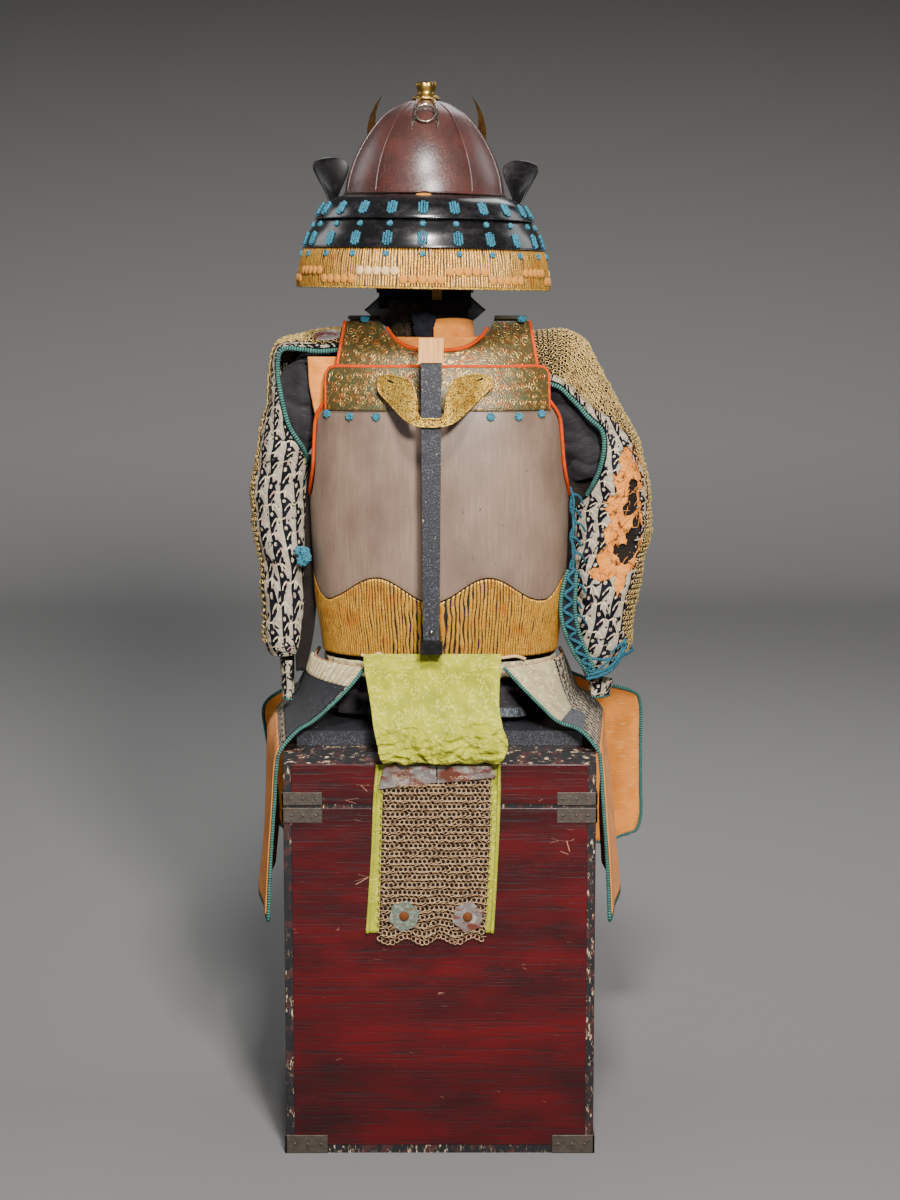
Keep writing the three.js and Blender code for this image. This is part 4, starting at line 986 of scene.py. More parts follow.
# Orange piping: armholes, neck, the ends of the upper yoke, and the top and ends of the lower one.
piping = {"radius": 2.7, "clear": 3.6, "count": 70}


def armholeLine(side):
    back = []
    for z, half in armhole[1:]:
        back.append(torsoPoint(torsoAngle(min(half + piping["clear"], 181.4), z + 1), z + 1) / mm)
    back.reverse()
    low = torsoPoint(math.pi / 2, armhole[0][0] + piping["clear"] + 1) / mm
    line = back + [low] + [Vector((p.x, -p.y, p.z)) for p in reversed(back)]
    return [Vector((mid + side * (p.x - mid), p.y, p.z)) for p in line for mid in [rowAt(torsoRows, p.z)[4]]]


def pipe(name, lines, nodes=(), radius=piping["radius"], count=piping["count"], around=8,
         material="orangeCord", slotName="orange_cord"):
    bm = newShape()
    for line in lines:
        layCord(bm, line, radius, around, count)
    closeEnds(bm)
    return piece(name, bm, material, slotName, nodes=nodes)


pipe("armholePipingLeft", [armholeLine(-1)], ("armhole_piping_left",))
pipe("armholePipingRight", [armholeLine(1)], ("armhole_piping_right",))
neckLine = []
for share in (-0.93, -0.8, -0.62, -0.4, -0.2, 0, 0.2, 0.4, 0.62, 0.8, 0.93):
    z = min(1134, necklineHeight(share * neckline["half"]) + 3.0)
    neckLine.append(torsoPoint(torsoAngle(share * (neckline["half"] - 3), z), z, 0.6) / mm)
pipe("neckPiping", [neckLine], ("neck_piping",))
lowerEdge = [lowerYoke(0, w) / mm for w in (0, 0.3, 0.6, 0.76, 0.9, 0.97)]
lowerEdge += [lowerYoke(u, 1) / mm for u in (0.02, 0.1, 0.25, 0.5, 0.75, 0.9, 0.98)]
lowerEdge += [lowerYoke(1, w) / mm for w in (0.97, 0.9, 0.76, 0.6, 0.3, 0)]
upperEdges = [[upperYoke(u, w, 1.0) / mm for w in (0.18, 0.4, 0.6, 0.8, 0.99)] for u in (0, 1)]
pipe("yokePiping", [lowerEdge, *upperEdges], radius=2.4)
print("yokes made")

# Banner socket.

pole = {"x": -11, "nail": (-167, 719)}
bracketRows = ((-83, 1053, 1046), (-80, 1060, 1038), (-70, 1063, 1028), (-58, 1062, 1016), (-46, 1059, 1005),
               (-37, 1054, 1000), (-31, 1036, 998), (-27, 1009, 997), (-11, 1007, 996), (5, 1009, 997),
               (10, 1036, 998), (16, 1054, 1000), (26, 1060, 1006), (40, 1063, 1018), (54, 1063, 1032),
               (66, 1060, 1042), (71, 1053, 1047))


def bracketSurface(u, w):
    x, top, bottom = rowAlong(bracketRows, u)
    away = ease(abs(x - pole["x"]), 20, 76)
    return point(x, mix(-173, -121, away), mix(bottom, top, w))


dress("pole_tube", "blackWood")
dress("pole_cap", "tanWood")
dress("pole_foot", "blackLacquer")
sheetPiece("bracketPlate", bracketSurface, 110, 14, (180, 60), "goldCrumb", "gold_bark", wall=3, edge=0.8,
           nodes=("pole_bracket",))
grains = random.Random(4)  # the thickest crumbs of gold stand up from the lacquer
spots = [seat(bracketSurface, grains.uniform(0.03, 0.97), grains.uniform(0.06, 0.94),
              1.4) for _ in range(700)]
stampPiece("bracketGranules", domeStamp("granule", 1.0, 0.7, 5), spots, "goldCrumb", "gold_bark")
rimLine = [bracketSurface(i / 40, 1) / mm - Vector((0, 1.6, 0)) for i in range(41)]
rimBack = [bracketSurface(i / 40, 0) / mm - Vector((0, 1.6, 0)) for i in range(40, -1, -1)]
pipe("bracketRim", [rimLine + rimBack + [rimLine[0]]], radius=1.3, count=160, material="goldCrumb",
     slotName="gold_bark")
# a narrow dark inlay on each wing is painted shade standing for the open slot of its cord
stampPiece("bracketSlotShade", domeStamp("slot", 8.5, 0.8, 20),
           [seat(bracketSurface, u, 0.8, 1.4, tilt) @ Matrix.Diagonal((1, 0.2, 1, 1))
            for u, tilt in ((0.15, -0.05), (0.87, 0.1))], "dullBlack", "black_lacquer")
stampPiece("poleNail", domeStamp("nail", 3.2, 2.4, 12),
           [Matrix.Translation(point(pole["x"], *pole["nail"])) @ Matrix.Rotation(math.pi / 2, 4, "X")],
           "steelBar", "brass")
print("banner socket made")

# Helmet.

helmet = {"x": -21, "base": 1304, "roll": 0.9, "deeper": 1.06, "lameTurn": 112, "lacingStep": 16.5,
          "ribs": (36, 72, 108, 144)}
headPlace = Matrix.Translation(point(helmet["x"], 0, helmet["base"])) @ Matrix.Rotation(
    math.radians(helmet["roll"]), 4, "Y")
bowlRows = ((0, 111), (22, 107.5), (43, 101), (62, 92.5), (81, 81), (97, 69), (110, 56.5), (120, 41),
            (126, 29), (129.5, 16))
lameProfiles = (((113.6, -1.5), (128, -7), (142, -18), (151, -34)),
                ((142.5, -26.5), (152, -41), (161, -56), (167, -73)),
                ((160.5, -67), (168, -79), (172, -100), (175, -126)))


# Point on a ring round the helmet, turn 0 at the back.
def headPoint(half, turn, z, deeper=helmet["deeper"]):
    return headPlace @ point(half * math.sin(turn), -half * deeper * math.cos(turn), z)


def bowlPoint(u, w, out=-1.0):
    z = mix(0, 129.5, w)
    return headPoint(rowAt(bowlRows, z)[1] + out, 2 * math.pi * u, z)


sheetPiece("helmetBowl", bowlPoint, 96, 40, (690, 180), "russetIron", "russet_iron", ring=True, wall=2,
           edge=0.5, nodes=("helmet_bowl",))
ribs = newShape()
for degrees in helmet["ribs"]:
    for side in (-1, 1):
        u = (side * degrees / 360) % 1
        layCord(ribs, [bowlPoint(u, w, 0.35) / mm for w in (0.01, 0.2, 0.4, 0.6, 0.75, 0.86, 0.93, 0.965)],
                1.2, 6, 36)
rim = [bowlPoint(i / 48, 0.012, 0.6) / mm for i in range(49)]
layCord(ribs, rim, 1.4, 6, 96)
closeEnds(ribs)
piece("bowlRibs", ribs, "russetIron", "russet_iron", outward=True)

# Two bright bars run down from the crown, pointed like blades.
bars = newShape()
for side in (-1, 1):
    line = []
    for k in range(17):
        x, z = 8 + 9 * (k / 16) ** 0.5, 128.5 - 45 * (k / 16) ** 1.4
        turn = side * math.asin(min(1, x / rowAt(bowlRows, z)[1])) / (2 * math.pi)
        line.append(seat(bowlPoint, turn % 1, z / 129.5, 2.6).translation / mm)
    layCord(bars, line, 2.4, 10, 60, flat=0.7, up=(0, -1, 0.5), taper=lambda w: 1.0 - 0.8 * ease(w, 0.8, 1.0))
closeEnds(bars)
piece("crownBars", bars, "steelBar", "brass", outward=True)


def lameSurface(index, ripple=None, out=0.0):
    profile = lameProfiles[index]
    deeper = mix(helmet["deeper"], 1, (index + 1) / 3)

    def surface(u, w):
        half, z = rowAlong(profile, 1 - w)
        turn = math.radians(mix(-helmet["lameTurn"], helmet["lameTurn"], u))
        return headPoint(half + out + (ripple(u, w) if ripple else 0.0), turn, z, deeper)
    return surface


for index in (0, 1):
    sheetPiece("neckLame%d" % (index + 1), lameSurface(index), 110, 12, (600, 55), "blackLacquer",
               "black_lacquer", wall=1.6, edge=0.6, nodes=("neck_guard_lame_%d" % (index + 1),))
    pipe("neckLameLip%d" % (index + 1), [[lameSurface(index, out=0.7)(i / 40,
            0.015) / mm for i in range(41)]],
         radius=1.0, count=120, around=6, material="blackLacquer", slotName="black_lacquer")


lowLameSize = (684, 62)  # laid flat


def lameBark(u, w):
    return barkAt(u * lowLameSize[0], w * lowLameSize[1], 11.0)


sheetPiece("neckLame3", lameSurface(2, lambda u, w: 1.1 * lameBark(u, w) - 0.3), 940, 22, lowLameSize,
           "goldBark", "gold_bark", ridgeAt=lameBark, wall=1.6, nodes=("neck_guard_lame_3",))
pipe("neckLameRim", [[lameSurface(2, out=0.4)(i / 40, 0.005) / mm for i in range(41)]], radius=1.4, count=140,
     around=6, material="goldCrumb", slotName="gold_bark")


# A lace of four plaits side by side, each a stack of slanting turns.
def buildLace(bm, turns=9, long=20):
    for k in range(turns * 4):
        column, row = k % 4, k // 4
        if column in (0, 3) and row in (0, turns - 1):  # the ends are round
            continue
        spot = Vector(((column - 1.5) * 3.5, (row + 0.5) * long / turns - long / 2, 0.2))
        turn = Matrix.Translation(spot * mm) @ Matrix.Rotation(0.7 if column % 2 else -0.7, 4, "Z") @ \
            Matrix.Diagonal((2.2 * mm, 1.1 * mm, 1.9 * mm, 1))
        bmesh.ops.create_uvsphere(bm, u_segments=6, v_segments=5, radius=1.0, matrix=turn)


# A round knot: strands wound over a small ball.
def buildKnot(bm, strands=7):
    bmesh.ops.create_uvsphere(bm, u_segments=14, v_segments=8, radius=1.0,
                              matrix=Matrix.Diagonal((4.3 * mm, 4.1 * mm, 2.5 * mm, 1)))
    for k in range(strands):
        turn = 2 * math.pi * k / strands
        spot = Matrix.Translation(Vector((2.6 * math.cos(turn), 2.5 * math.sin(turn), 1.3)) * mm) @ \
            Matrix.Rotation(turn + 0.9, 4, "Z") @ Matrix.Diagonal((2.6 * mm, 1.1 * mm, 1.5 * mm, 1))
        bmesh.ops.create_uvsphere(bm, u_segments=8, v_segments=6, radius=1.0, matrix=spot)


laceStamp, knotStamp = stampMesh("lace", buildLace), stampMesh("knot", buildKnot)
laces = newShape()
for step in range(-6, 7):
    u = 0.5 + step * helmet["lacingStep"] / (2 * helmet["lameTurn"])
    stamp(laces, laceStamp, [seat(lameSurface(0), u, 0.27, 1.4), seat(lameSurface(1), u, 0.23, 1.4)])
    stamp(laces, knotStamp, [seat(lameSurface(1), u, 0.64, 1.2), seat(lameSurface(2), u, 0.62, 1.6)])
piece("guardLacing", laces, "blueCord", "blue_cord")
dots = {"count": 55, "group": 5, "low": 0.14, "high": 0.28, "creamGroups": (0, 4, 10)}
dotStamp = domeStamp("dot", 6.3, 2.0, 14)
creamDots, orangeDots = newShape(), newShape()
for k in range(dots["count"]):
    group = k // dots["group"]
    spot = seat(lameSurface(2), (k + 0.5) / dots["count"], dots["low"] if group % 2 else dots["high"], 1.8)
    stamp(creamDots if group in dots["creamGroups"] else orangeDots, dotStamp, [spot])
piece("creamDots", creamDots, "dotCream", "tan_linen")
piece("orangeDots", orangeDots, "dotOrange", "tan_linen")
stampPiece("leatherTab", domeStamp("tab", 11, 1.6, 16),
           [seat(lameSurface(0), 0.5, 0.9, 1.0) @ Matrix.Diagonal((1, 0.42, 1, 1))], "dotOrange", "tan_linen")


def peakPoint(u, w):
    angle = math.radians(mix(-62, 62, u))
    reach = w * 52 * math.sqrt(max(math.cos(angle), 0))
    return headPoint(112.6 + reach, math.pi - angle, -2 - w * 20 * math.cos(angle))


sheetPiece("helmetPeak", peakPoint, 60, 12, (230, 52), "russetIron", "russet_iron", wall=2, edge=0.7,
           nodes=("helmet_peak",))
earRows = ((-9, 127, 134), (8, 121, 141), (24, 114, 150), (38, 109, 157), (48, 108, 159), (55, 111, 154))
for side, name in ((-1, "Left"), (1, "Right")):
    def earPoint(u, w, side=side):
        z, inner, outer = rowAlong(earRows, w)
        # the top of the ear is round
        squeeze = math.sqrt(max(0.0, 1 - 0.96 * max(0.0, (w - 0.5) / 0.5) ** 2.6))
        out = 0.42 + ((u if side > 0 else 1 - u) - 0.42) * squeeze
        return headPlace @ point(side * mix(inner, outer, out), 74 - 6 * out - 26 * out * out, z)

    sheetPiece("helmetEar" + name, earPoint, 16, 30, (40, 60), "dullBlack", "black_lacquer", wall=2, edge=0.8,
               nodes=("helmet_ear_" + name.lower(),))
dress("crest_crescent", "darkBronze")
dress("crest_socket", "brass")
dress("ring_stud", "steelBar")

# Crown finial: a lobed cup on a ring of petals, turned in brass.
finialProfile = ((12, 132.4), (19.5, 130.8), (20, 132.6), (17, 135.6), (11.4, 139.4), (12.2, 143),
                 (14.4, 148), (14.6, 152.5), (13.2, 155.5), (11.4, 155), (12.2, 148.5), (9.2, 142),
                 (9.2, 133.4))
cup = newShape()
outline = [cup.verts.new(point(r, 0, z)) for r, z in finialProfile]
for a, b in zip(outline, outline[1:] + outline[:1]):
    cup.edges.new((a, b))
bmesh.ops.spin(cup, geom=cup.verts[:] + cup.edges[:], axis=(0, 0, 1), angle=2 * math.pi, steps=56,
               use_merge=True)
for vert in cup.verts:
    spot = vert.co / mm
    turn = math.atan2(spot.y, spot.x)
    notch = 1 - abs(math.sin(4 * turn))
    lobe = 1 - 0.05 * notch * ease(spot.z, 140, 150)
    vert.co = point(spot.x * lobe, spot.y * lobe, spot.z - 1.4 * notch * ease(spot.z, 150, 155))
for k in range(14):
    turn = 2 * math.pi * k / 14
    petal = Matrix.Translation(point(16.2 * math.cos(turn), 16.2 * math.sin(turn), 133.2)) @ \
        Matrix.Rotation(turn, 4, "Z") @ Matrix.Diagonal((3.6 * mm, 3.0 * mm, 2.4 * mm, 1))
    bmesh.ops.create_uvsphere(cup, u_segments=10, v_segments=7, radius=1.0, matrix=petal)
bmesh.ops.transform(cup, matrix=headPlace, verts=cup.verts)
piece("crownFinial", cup, "brass", "brass", outward=True, nodes=("finial",))

ringSizes = {"eyeY": -63.5, "eyeZ": 119.5, "radius": 13.8, "wire": 1.7, "lean": 33}
stampPiece("backRing", ringStamp("hoop", ringSizes["radius"], ringSizes["wire"], 48, 12),
           [headPlace @ Matrix.Translation(point(0, ringSizes["eyeY"], ringSizes["eyeZ"]))
            @ Matrix.Rotation(-math.radians(ringSizes["lean"]), 4, "X")
            @ Matrix.Translation(point(0, 0, -ringSizes["radius"])) @ Matrix.Rotation(math.pi / 2, 4, "X")],
           "steelBar", "brass", body="ring", nodes=("back_ring",))
print("helmet made")

# Chin guard, neck and collar.

chinRows = ((1172, 66, 78, 92), (1192, 70, 88, 90), (1212, 72, 96, 86), (1232, 73, 98, 78),
            (1250, 73, 96, 70))
throatRows = ((0, 84, 100), (0.4, 75, 92), (0.8, 66, 84), (1, 63, 80))
throat = {"turn": 88, "top": 1168, "sideBottom": 1148, "drop": 44}


def facePoint(half, deep, angle, z):
    return point(helmet["x"] - half * math.sin(angle), 10 + deep * math.cos(angle), z)


def chinSurface(u, w):
    z, half, deep, turn = rowAt(chinRows, mix(1172, 1250, w))
    return facePoint(half, deep, math.radians(mix(-turn, turn, u)), z)


def throatSurface(u, w):
    _, half, deep = rowAt(throatRows, w)
    angle = math.radians(mix(-throat["turn"], throat["turn"], u))
    return facePoint(half, deep, angle, mix(throat["sideBottom"] - throat["drop"] * math.cos(angle) ** 2,
                                            throat["top"], w))


for name, surface, node in (("chinGuard", chinSurface, "chin_guard"),
                            ("throatGuard", throatSurface, "throat_guard")):
    sheetPiece(name, surface, 48, 20, (210, 80), "dullBlack", "black_lacquer", wall=2, edge=0.7,
               nodes=(node,))
    hemLine = [surface(i / 24, 0.03) / mm + Vector((0, 1.4, 0)) for i in range(25)]
    pipe(name + "Lip", [hemLine], radius=1.6, count=70, material="dullBlack", slotName="black_lacquer")


def widthAt(surface, w, steps=16):
    return sum((surface((i + 1) / steps, w) - surface(i / steps, w)).length for i in range(steps)) / mm


# The flat size of a surface in metres: its widest row, its longest column and its area.
def flatOf(surface, steps=24):
    spots = [[surface(i / steps, j / steps) for i in range(steps + 1)] for j in range(steps + 1)]
    wide = max(sum((b - a).length for a, b in zip(row, row[1:])) for row in spots)
    long = max(sum((b[i] - a[i]).length for a, b in zip(spots, spots[1:])) for i in range(steps + 1))
    area = 0.0
    for row, above in zip(spots, spots[1:]):
        for a, b, c, d in zip(row, row[1:], above[1:], above):
            area += ((b - a).cross(c - a).length + (c - a).cross(d - a).length) / 2
    return wide, long, min(area, wide * long)


# A sheet of cloth: its surface, thickness and finish, printed with the size it was cut to.
def clothPiece(name, surface, across, up, material, slotName, wall, nodes=(), ring=False,
               cut=None):
    wide, long, area = flatOf(surface)
    bm = newShape()
    rowWidths = [(j / 16, widthAt(surface, j / 16)) for j in range(17)]
    layGrid(bm, surface, across, up, (wide / mm, long / mm), ring=ring,
            trueWidth=lambda w: rowAt(rowWidths, w)[1])
    if cut:
        gone = [face for face in bm.faces if cut(face)]
        share = sum(face.calc_area() for face in gone) / sum(face.calc_area() for face in bm.faces)
        torn = {vert for face in gone for vert in face.verts}
        bmesh.ops.delete(bm, geom=gone, context="FACES")
        # the torn edge runs smoothly between the mesh's steps
        frayed = [vert for vert in torn if vert.is_valid]
        for _ in range(2):
            bmesh.ops.smooth_vert(bm, verts=frayed, factor=0.5, use_axis_x=True, use_axis_y=True,
                                  use_axis_z=True)
        area *= 1 - share
    made = piece(name, bm, material, slotName, wall=wall, nodes=nodes)
    print("%s cut %.0f x %.0f mm, %.4f m2" % (name, wide / mm, long / mm, area))
    return made


def wave3(p, size, seed=0.0):
    return noise.noise(Vector((p[0] / size, p[1] / size, p[2] / size + seed)))


def neckTurn(half, deep, z, turn, y=-4.0, x=torso["neckMiddle"]):
    return point(x + half * math.sin(turn), y - deep * math.cos(turn), z)


liningRing = ((1078, 66, 62), (1096, 68, 60), (1112, 72, 60))
collarRing = ((1098, 52, 44), (1122, 53, 45), (1146, 55, 46), (1162, 57, 48))


def liningSurface(u, w):
    z, half, deep = rowAt(liningRing, mix(1078, 1112, w))
    turn = 2 * math.pi * u
    fold = 1.5 * math.sin(7 * turn + 2 * w)
    return neckTurn(half + fold, deep + fold, z, turn)


def collarSurface(u, w):
    z, half, deep = rowAt(collarRing, mix(1098, 1162, w))
    return neckTurn(half, deep, z, math.radians(mix(-150, 70, u)), 0.0, helmet["x"] + 8)


clothPiece("neckLining", liningSurface, 96, 14, "linen", "tan_linen", 2,
           ("neck_lining",), ring=True)
clothPiece("neckCollar", collarSurface, 60, 16, "sootBlack", "navy_brocade", 2,
           ("neck_collar",))


def guardStrap(u, w):
    return facePoint(64, 74, math.radians(mix(-86, 86, u)), mix(1150, 1192, w))


def napeSurface(u, w):
    turn = math.radians(mix(4, 82, u))
    tall = mix(1092, 1138 - 16 * (u - 0.35) ** 2, w)
    fold = 1.6 * math.sin(7 * u + 3 * w)
    return neckTurn(60 + fold, 52 + fold, tall, turn, 0.0, helmet["x"] + 8)


clothPiece("guardStrap", guardStrap, 40, 6, "sootBlack", "charcoal_cotton", 1.2)
clothPiece("napeLining", napeSurface, 40, 20, "linen", "tan_linen", 1.4)
hexagons = newShape()  # tortoiseshell quilting: cream six-sided figures, one inside another
for k in range(10):
    for size in (10.5, 7.2, 3.6):
        u, w = 0.1 + 0.056 * k, 0.36 + 0.4 * (k % 2)
        figure = []
        for corner in range(7):
            turn = math.pi / 3 * corner
            spot = seat(collarSurface, u + size * math.cos(turn) / 205, w + size * math.sin(turn) / 66, 1.5)
            figure.append(spot.translation / mm)
        for a, b in zip(figure, figure[1:]):
            layCord(hexagons, [a, b], 0.5, 5, 2)
closeEnds(hexagons)
piece("collarHexagons", hexagons, "fadedGold", "cream_silk")
knot = newShape()  # the collar's cotton ties, knotted at the nape
for x, z, wide, tall, turn in ((-22, 1139, 10, 12, 0.3), (-25, 1122, 11, 13, -0.2), (-15, 1128, 7, 16, 0.5),
                               (-29, 1131, 7, 14, -0.5), (-20, 1112, 8, 12, 0.15)):
    lump = Matrix.Translation(point(x, -57, z)) @ Matrix.Rotation(turn, 4, "Y") @ \
        Matrix.Diagonal((wide * mm, 6.5 * mm, tall * mm, 1))
    bmesh.ops.create_icosphere(knot, subdivisions=4, radius=1.0, matrix=lump)
for vert in knot.verts:
    vert.co += Vector((0, -1, 0)) * 2.2 * mm * wave3(vert.co / mm, 7) + 1.2 * mm * wave3(vert.co / mm,
            3) * Vector((1, 0, 0))
piece("neckKnot", knot, "indigo", "charcoal_cotton")
print("neck made")

# Sleeves.

# outer line x and z, back edge x and z and its turn in degrees, front edge the same, half depth, middle in Y;
# the rows run from the neck over the shoulder to the cuff
sleeves = {
    "left": ((-135, 1122, -139, 1099, 62, -139, 1082, 80, 47, 0),
             (-167, 1119, -168, 1097, 62, -168, 1076, 84, 49, 0),
             (-196, 1112, -196, 1099, 52, -188, 1070, 90, 51, 0),
             (-220, 1106, -216, 1098, 42, -200, 1062, 92, 52, 0),
             (-231, 1092, -225, 1087, 38, -204, 1054, 94, 53, 0),
             (-235, 1065, -227, 1062, 36, -205, 1042, 96, 53, 0),
             (-239, 1042, -225, 1042, 48, -204, 1026, 98, 53, 1),
             (-243, 1018, -221, 1018, 60, -204, 1006, 100, 53, 2),
             (-249, 986, -213, 988, 78, -204, 978, 104, 52, 3),
             (-254, 958, -196, 960, 108, -203, 952, 112, 51, 4),
             (-258, 928, -187, 938, 150, -190, 926, 160, 48, 5),
             (-262, 890, -188, 896, 170, -188, 890, 172, 46, 6),
             (-263, 856, -189, 858, 172, -189, 856, 172, 45, 7),
             (-256, 816, -189, 816, 172, -189, 816, 172, 44, 8),
             (-251, 772, -190, 772, 172, -190, 772, 172, 42, 9),
             (-250, 716, -192, 716, 172, -192, 716, 172, 39, 10),
             (-247, 680, -195, 680, 172, -195, 680, 172, 37, 11),
             (-240, 662, -200, 664, 172, -200, 664, 172, 33, 12)),
    "right": ((127, 1116, 136, 1057, 96, 134, 1078, 84, 50, 0),
              (168, 1119, 164, 1049, 100, 164, 1072, 88, 54, 0),
              (189, 1112, 178, 1037, 100, 176, 1064, 92, 56, 0),
              (203, 1102, 192, 1023, 98, 186, 1056, 94, 58, 0),
              (213, 1083, 203, 1010, 92, 194, 1046, 96, 58, 0),
              (224, 1058, 214, 1000, 86, 200, 1034, 98, 58, 0),
              (241, 1030, 224, 991, 76, 206, 1016, 100, 58, 1),
              (260, 996, 231, 974, 72, 214, 990, 104, 57, 2), (277, 961, 231, 950, 84, 220, 958, 108, 57, 3),
              (288, 928, 224, 922, 108, 222, 926, 114, 55, 4),
              (292, 895, 209, 892, 136, 212, 895, 130, 53, 5),
              (294, 862, 189, 868, 168, 190, 862, 172, 50, 6),
              (293, 826, 188, 826, 172, 188, 826, 172, 48, 7),
              (285, 784, 188, 784, 172, 188, 784, 172, 46, 8),
              (275, 740, 188, 740, 172, 188, 740, 172, 44, 9),
              (268, 698, 189, 698, 172, 189, 698, 172, 41, 10),
              (262, 666, 194, 666, 172, 194, 666, 172, 37, 11),
              (252, 645, 208, 629, 172, 204, 650, 172, 32, 12)),
}
mailReach = {
    "left": (0.86, 0.86, 0.8, 0.72, 0.5, 0.45, 0.4, 0.34, 0.28, 0.24, 0.22, 0.21, 0.21, 0.21, 0.21, 0.21,
             0.2),
    "right": (0.93, 0.93, 0.92, 0.92, 0.9, 0.88, 0.8, 0.6, 0.42, 0.26, 0.19, 0.18, 0.22, 0.26, 0.28, 0.28,
              0.26),
}
folds = {"depth": 3.2, "size": 44}


# Point of a sleeve; turn runs from the back edge (1) over the outer line (0) to the front edge (-1).
def sleevePoint(row, turn):
    x, z, backX, backZ, backTurn, frontX, frontZ, frontTurn, deep, y = row
    full = math.radians(backTurn if turn > 0 else frontTurn)
    angle = abs(turn) * full
    share = (1 - math.cos(angle)) / (1 - math.cos(full))
    return point(mix(x, backX if turn > 0 else frontX, share),
                 y - math.copysign(deep, turn) * math.sin(angle),
                 mix(z, backZ if turn > 0 else frontZ, share))


def sleeveSurface(side, lift=0.0, creased=True):
    sign = 1 if side == "right" else -1

    def plain(u, w):
        return sleevePoint(rowAlong(sleeves[side], w), sign * (2 * u - 1))

    def surface(u, w):
        here = plain(u, w)
        if not creased and not lift:
            return here
        e = 0.006
        along = plain(min(u + e, 1), w) - plain(max(u - e, 0), w)
        down = plain(u, min(w + e, 1)) - plain(u, max(w - e, 0))
        out = along.cross(down).normalized()
        spot = here / mm
        still = min(1, u * 8, (1 - u) * 8) * ease(w, 0.1, 0.35)  # edges stay where their braid holds them
        crease = wave3((spot.x * 0.6, spot.y * 0.6, spot.z + 0.5 * spot.x), folds["size"],
                       3.0 if sign > 0 else 8.0)
        fine = wave3((spot.x, spot.y, spot.z * 1.8), folds["size"] * 0.4, 5.0)
        raised = folds["depth"] * still * (1.5 * crease + 0.5 * fine) if creased else 0.0
        return here + out * (lift + raised) * mm
    return surface


# Where the back of the right sleeve is worn through: the brocade is torn away from the linen, and the linen
# is holed in its turn; each spot is (x, z, half width, half height).
tears = {"brocade": ((260, 942, 11, 16), (262, 908, 20, 30), (258, 872, 25, 32), (256, 834, 27, 34),
                     (248, 800, 27, 22), (228, 783, 20, 8), (252, 770, 8, 20)),
         "linen": ((269, 893, 7, 25), (264, 872, 9, 8), (276, 848, 6, 18), (270, 826, 9, 18),
                   (257, 810, 11, 13), (246, 816, 4, 9)), "ragged": 0.42}


def tornAt(spot, places, seed):
    if spot.y > -8:
        return False
    rough = tears["ragged"] * (wave3(spot, 11, seed) + 0.7 * wave3(spot, 4.2, seed))
    return any(((spot.x - x) / wide) ** 2 + ((spot.z - z) / tall) ** 2 < 1 + rough * 2 for x, z, wide,
               tall in places)


def cutBrocade(face):
    return tornAt(face.calc_center_median() / mm, tears["brocade"], 2.0)


def cutLinen(face):
    return tornAt(face.calc_center_median() / mm, tears["linen"], 6.0)


def linenSurface(u, w):
    here = sleeveSurface("right", -2.2)(mix(0.52, 0.93, u), mix(0.43, 0.84, w))
    spot = here / mm
    rumple = 1.3 * abs(wave3((spot.x, spot.y, spot.z * 0.8), 13, 4.0)) + 0.5 * wave3(spot, 5, 2.0)
    return here + Vector((0.3, -0.9, 0)) * (rumple - 0.4) * mm


# Mail: rings in staggered rows linked over and under their neighbours.
mailRing = {"pitch": 6.6, "radius": 2.8, "wire": 0.62, "lean": 0.3}


def layMail(bm, surface, tall, keep, pitch, ringMesh, lean):
    rows = round(tall / (pitch * 0.86))
    places = []
    for j in range(rows):
        w = (j + 0.5) / rows
        columns = round(widthAt(surface, w) / pitch)
        for i in range(columns):
            u = (i + 0.5 + 0.5 * (j % 2)) / (columns + 0.5)
            if not keep(u, w):
                continue
            spot = seat(surface, u, w, 0.6)
            loose = 1.5 * noise.noise((i * 3.7, j * 5.3, pitch))
            places.append(spot @ Matrix.Rotation((lean if j % 2 else -lean) + 0.5 * loose, 4, "X")
                          @ Matrix.Rotation(0.6 * loose, 4, "Y"))
    stamp(bm, ringMesh, places)


for side in ("left", "right"):
    title, sign = side.capitalize(), 1 if side == "right" else -1
    surface = sleeveSurface(side)
    cloth = clothPiece("sleeve" + title, surface, 165, 250, "brocade", "navy_brocade", 1.8,
                       ("sleeve_" + side,), cut=cutBrocade if side == "right" else None)
    reach = mailReach[side]
    rows = len(sleeves[side])

    def keepMail(u, w, reach=reach, rows=rows, sign=sign):
        step = w * (rows - 1)
        if step > len(reach) - 1.05:
            return False
        far = rowAt([(i, value) for i, value in enumerate(reach)], step)[1]
        return -0.45 < sign * (2 * u - 1) < far + 0.03 * noise.noise((w * 40, 0, 3))

    last = (len(reach) - 1.05) / (rows - 1)

    def backingSurface(u, w, surface=sleeveSurface(side, 1.3), reach=reach, sign=sign, last=last):
        far = rowAt([(i, value) for i, value in enumerate(reach)], w * (len(reach) - 1.05))[1]
        return surface((sign * mix(-0.44, far - 0.02, u) + 1) / 2, w * last)

    clothPiece("mailBacking" + title, backingSurface, 60, 120, "sootBlack", "navy_brocade", 0.6)
    tall = flatOf(sleeveSurface(side, 0, False))[1]
    rings = newShape()
    layMail(rings, sleeveSurface(side, 2.6), tall / mm, keepMail, mailRing["pitch"],
            ringStamp("mailRing" + title, mailRing["radius"], mailRing["wire"], 7, 3), mailRing["lean"])
    piece("shoulderMail" + title, rings, "mail", "mail", nodes=("shoulder_mail_" + side,))
    edgeLine = []
    for row in sleeves[side][:11]:
        edge, inside = sleevePoint(row, 1) / mm, sleevePoint(row, 0.96) / mm
        edgeLine.append(edge + (edge - inside).normalized() * 5.6)
    pipe("sleeveEdging" + title, [edgeLine], ("sleeve_edging_" + side,), radius=3.3, count=110,
         material="greenBraid", slotName="green_braid")

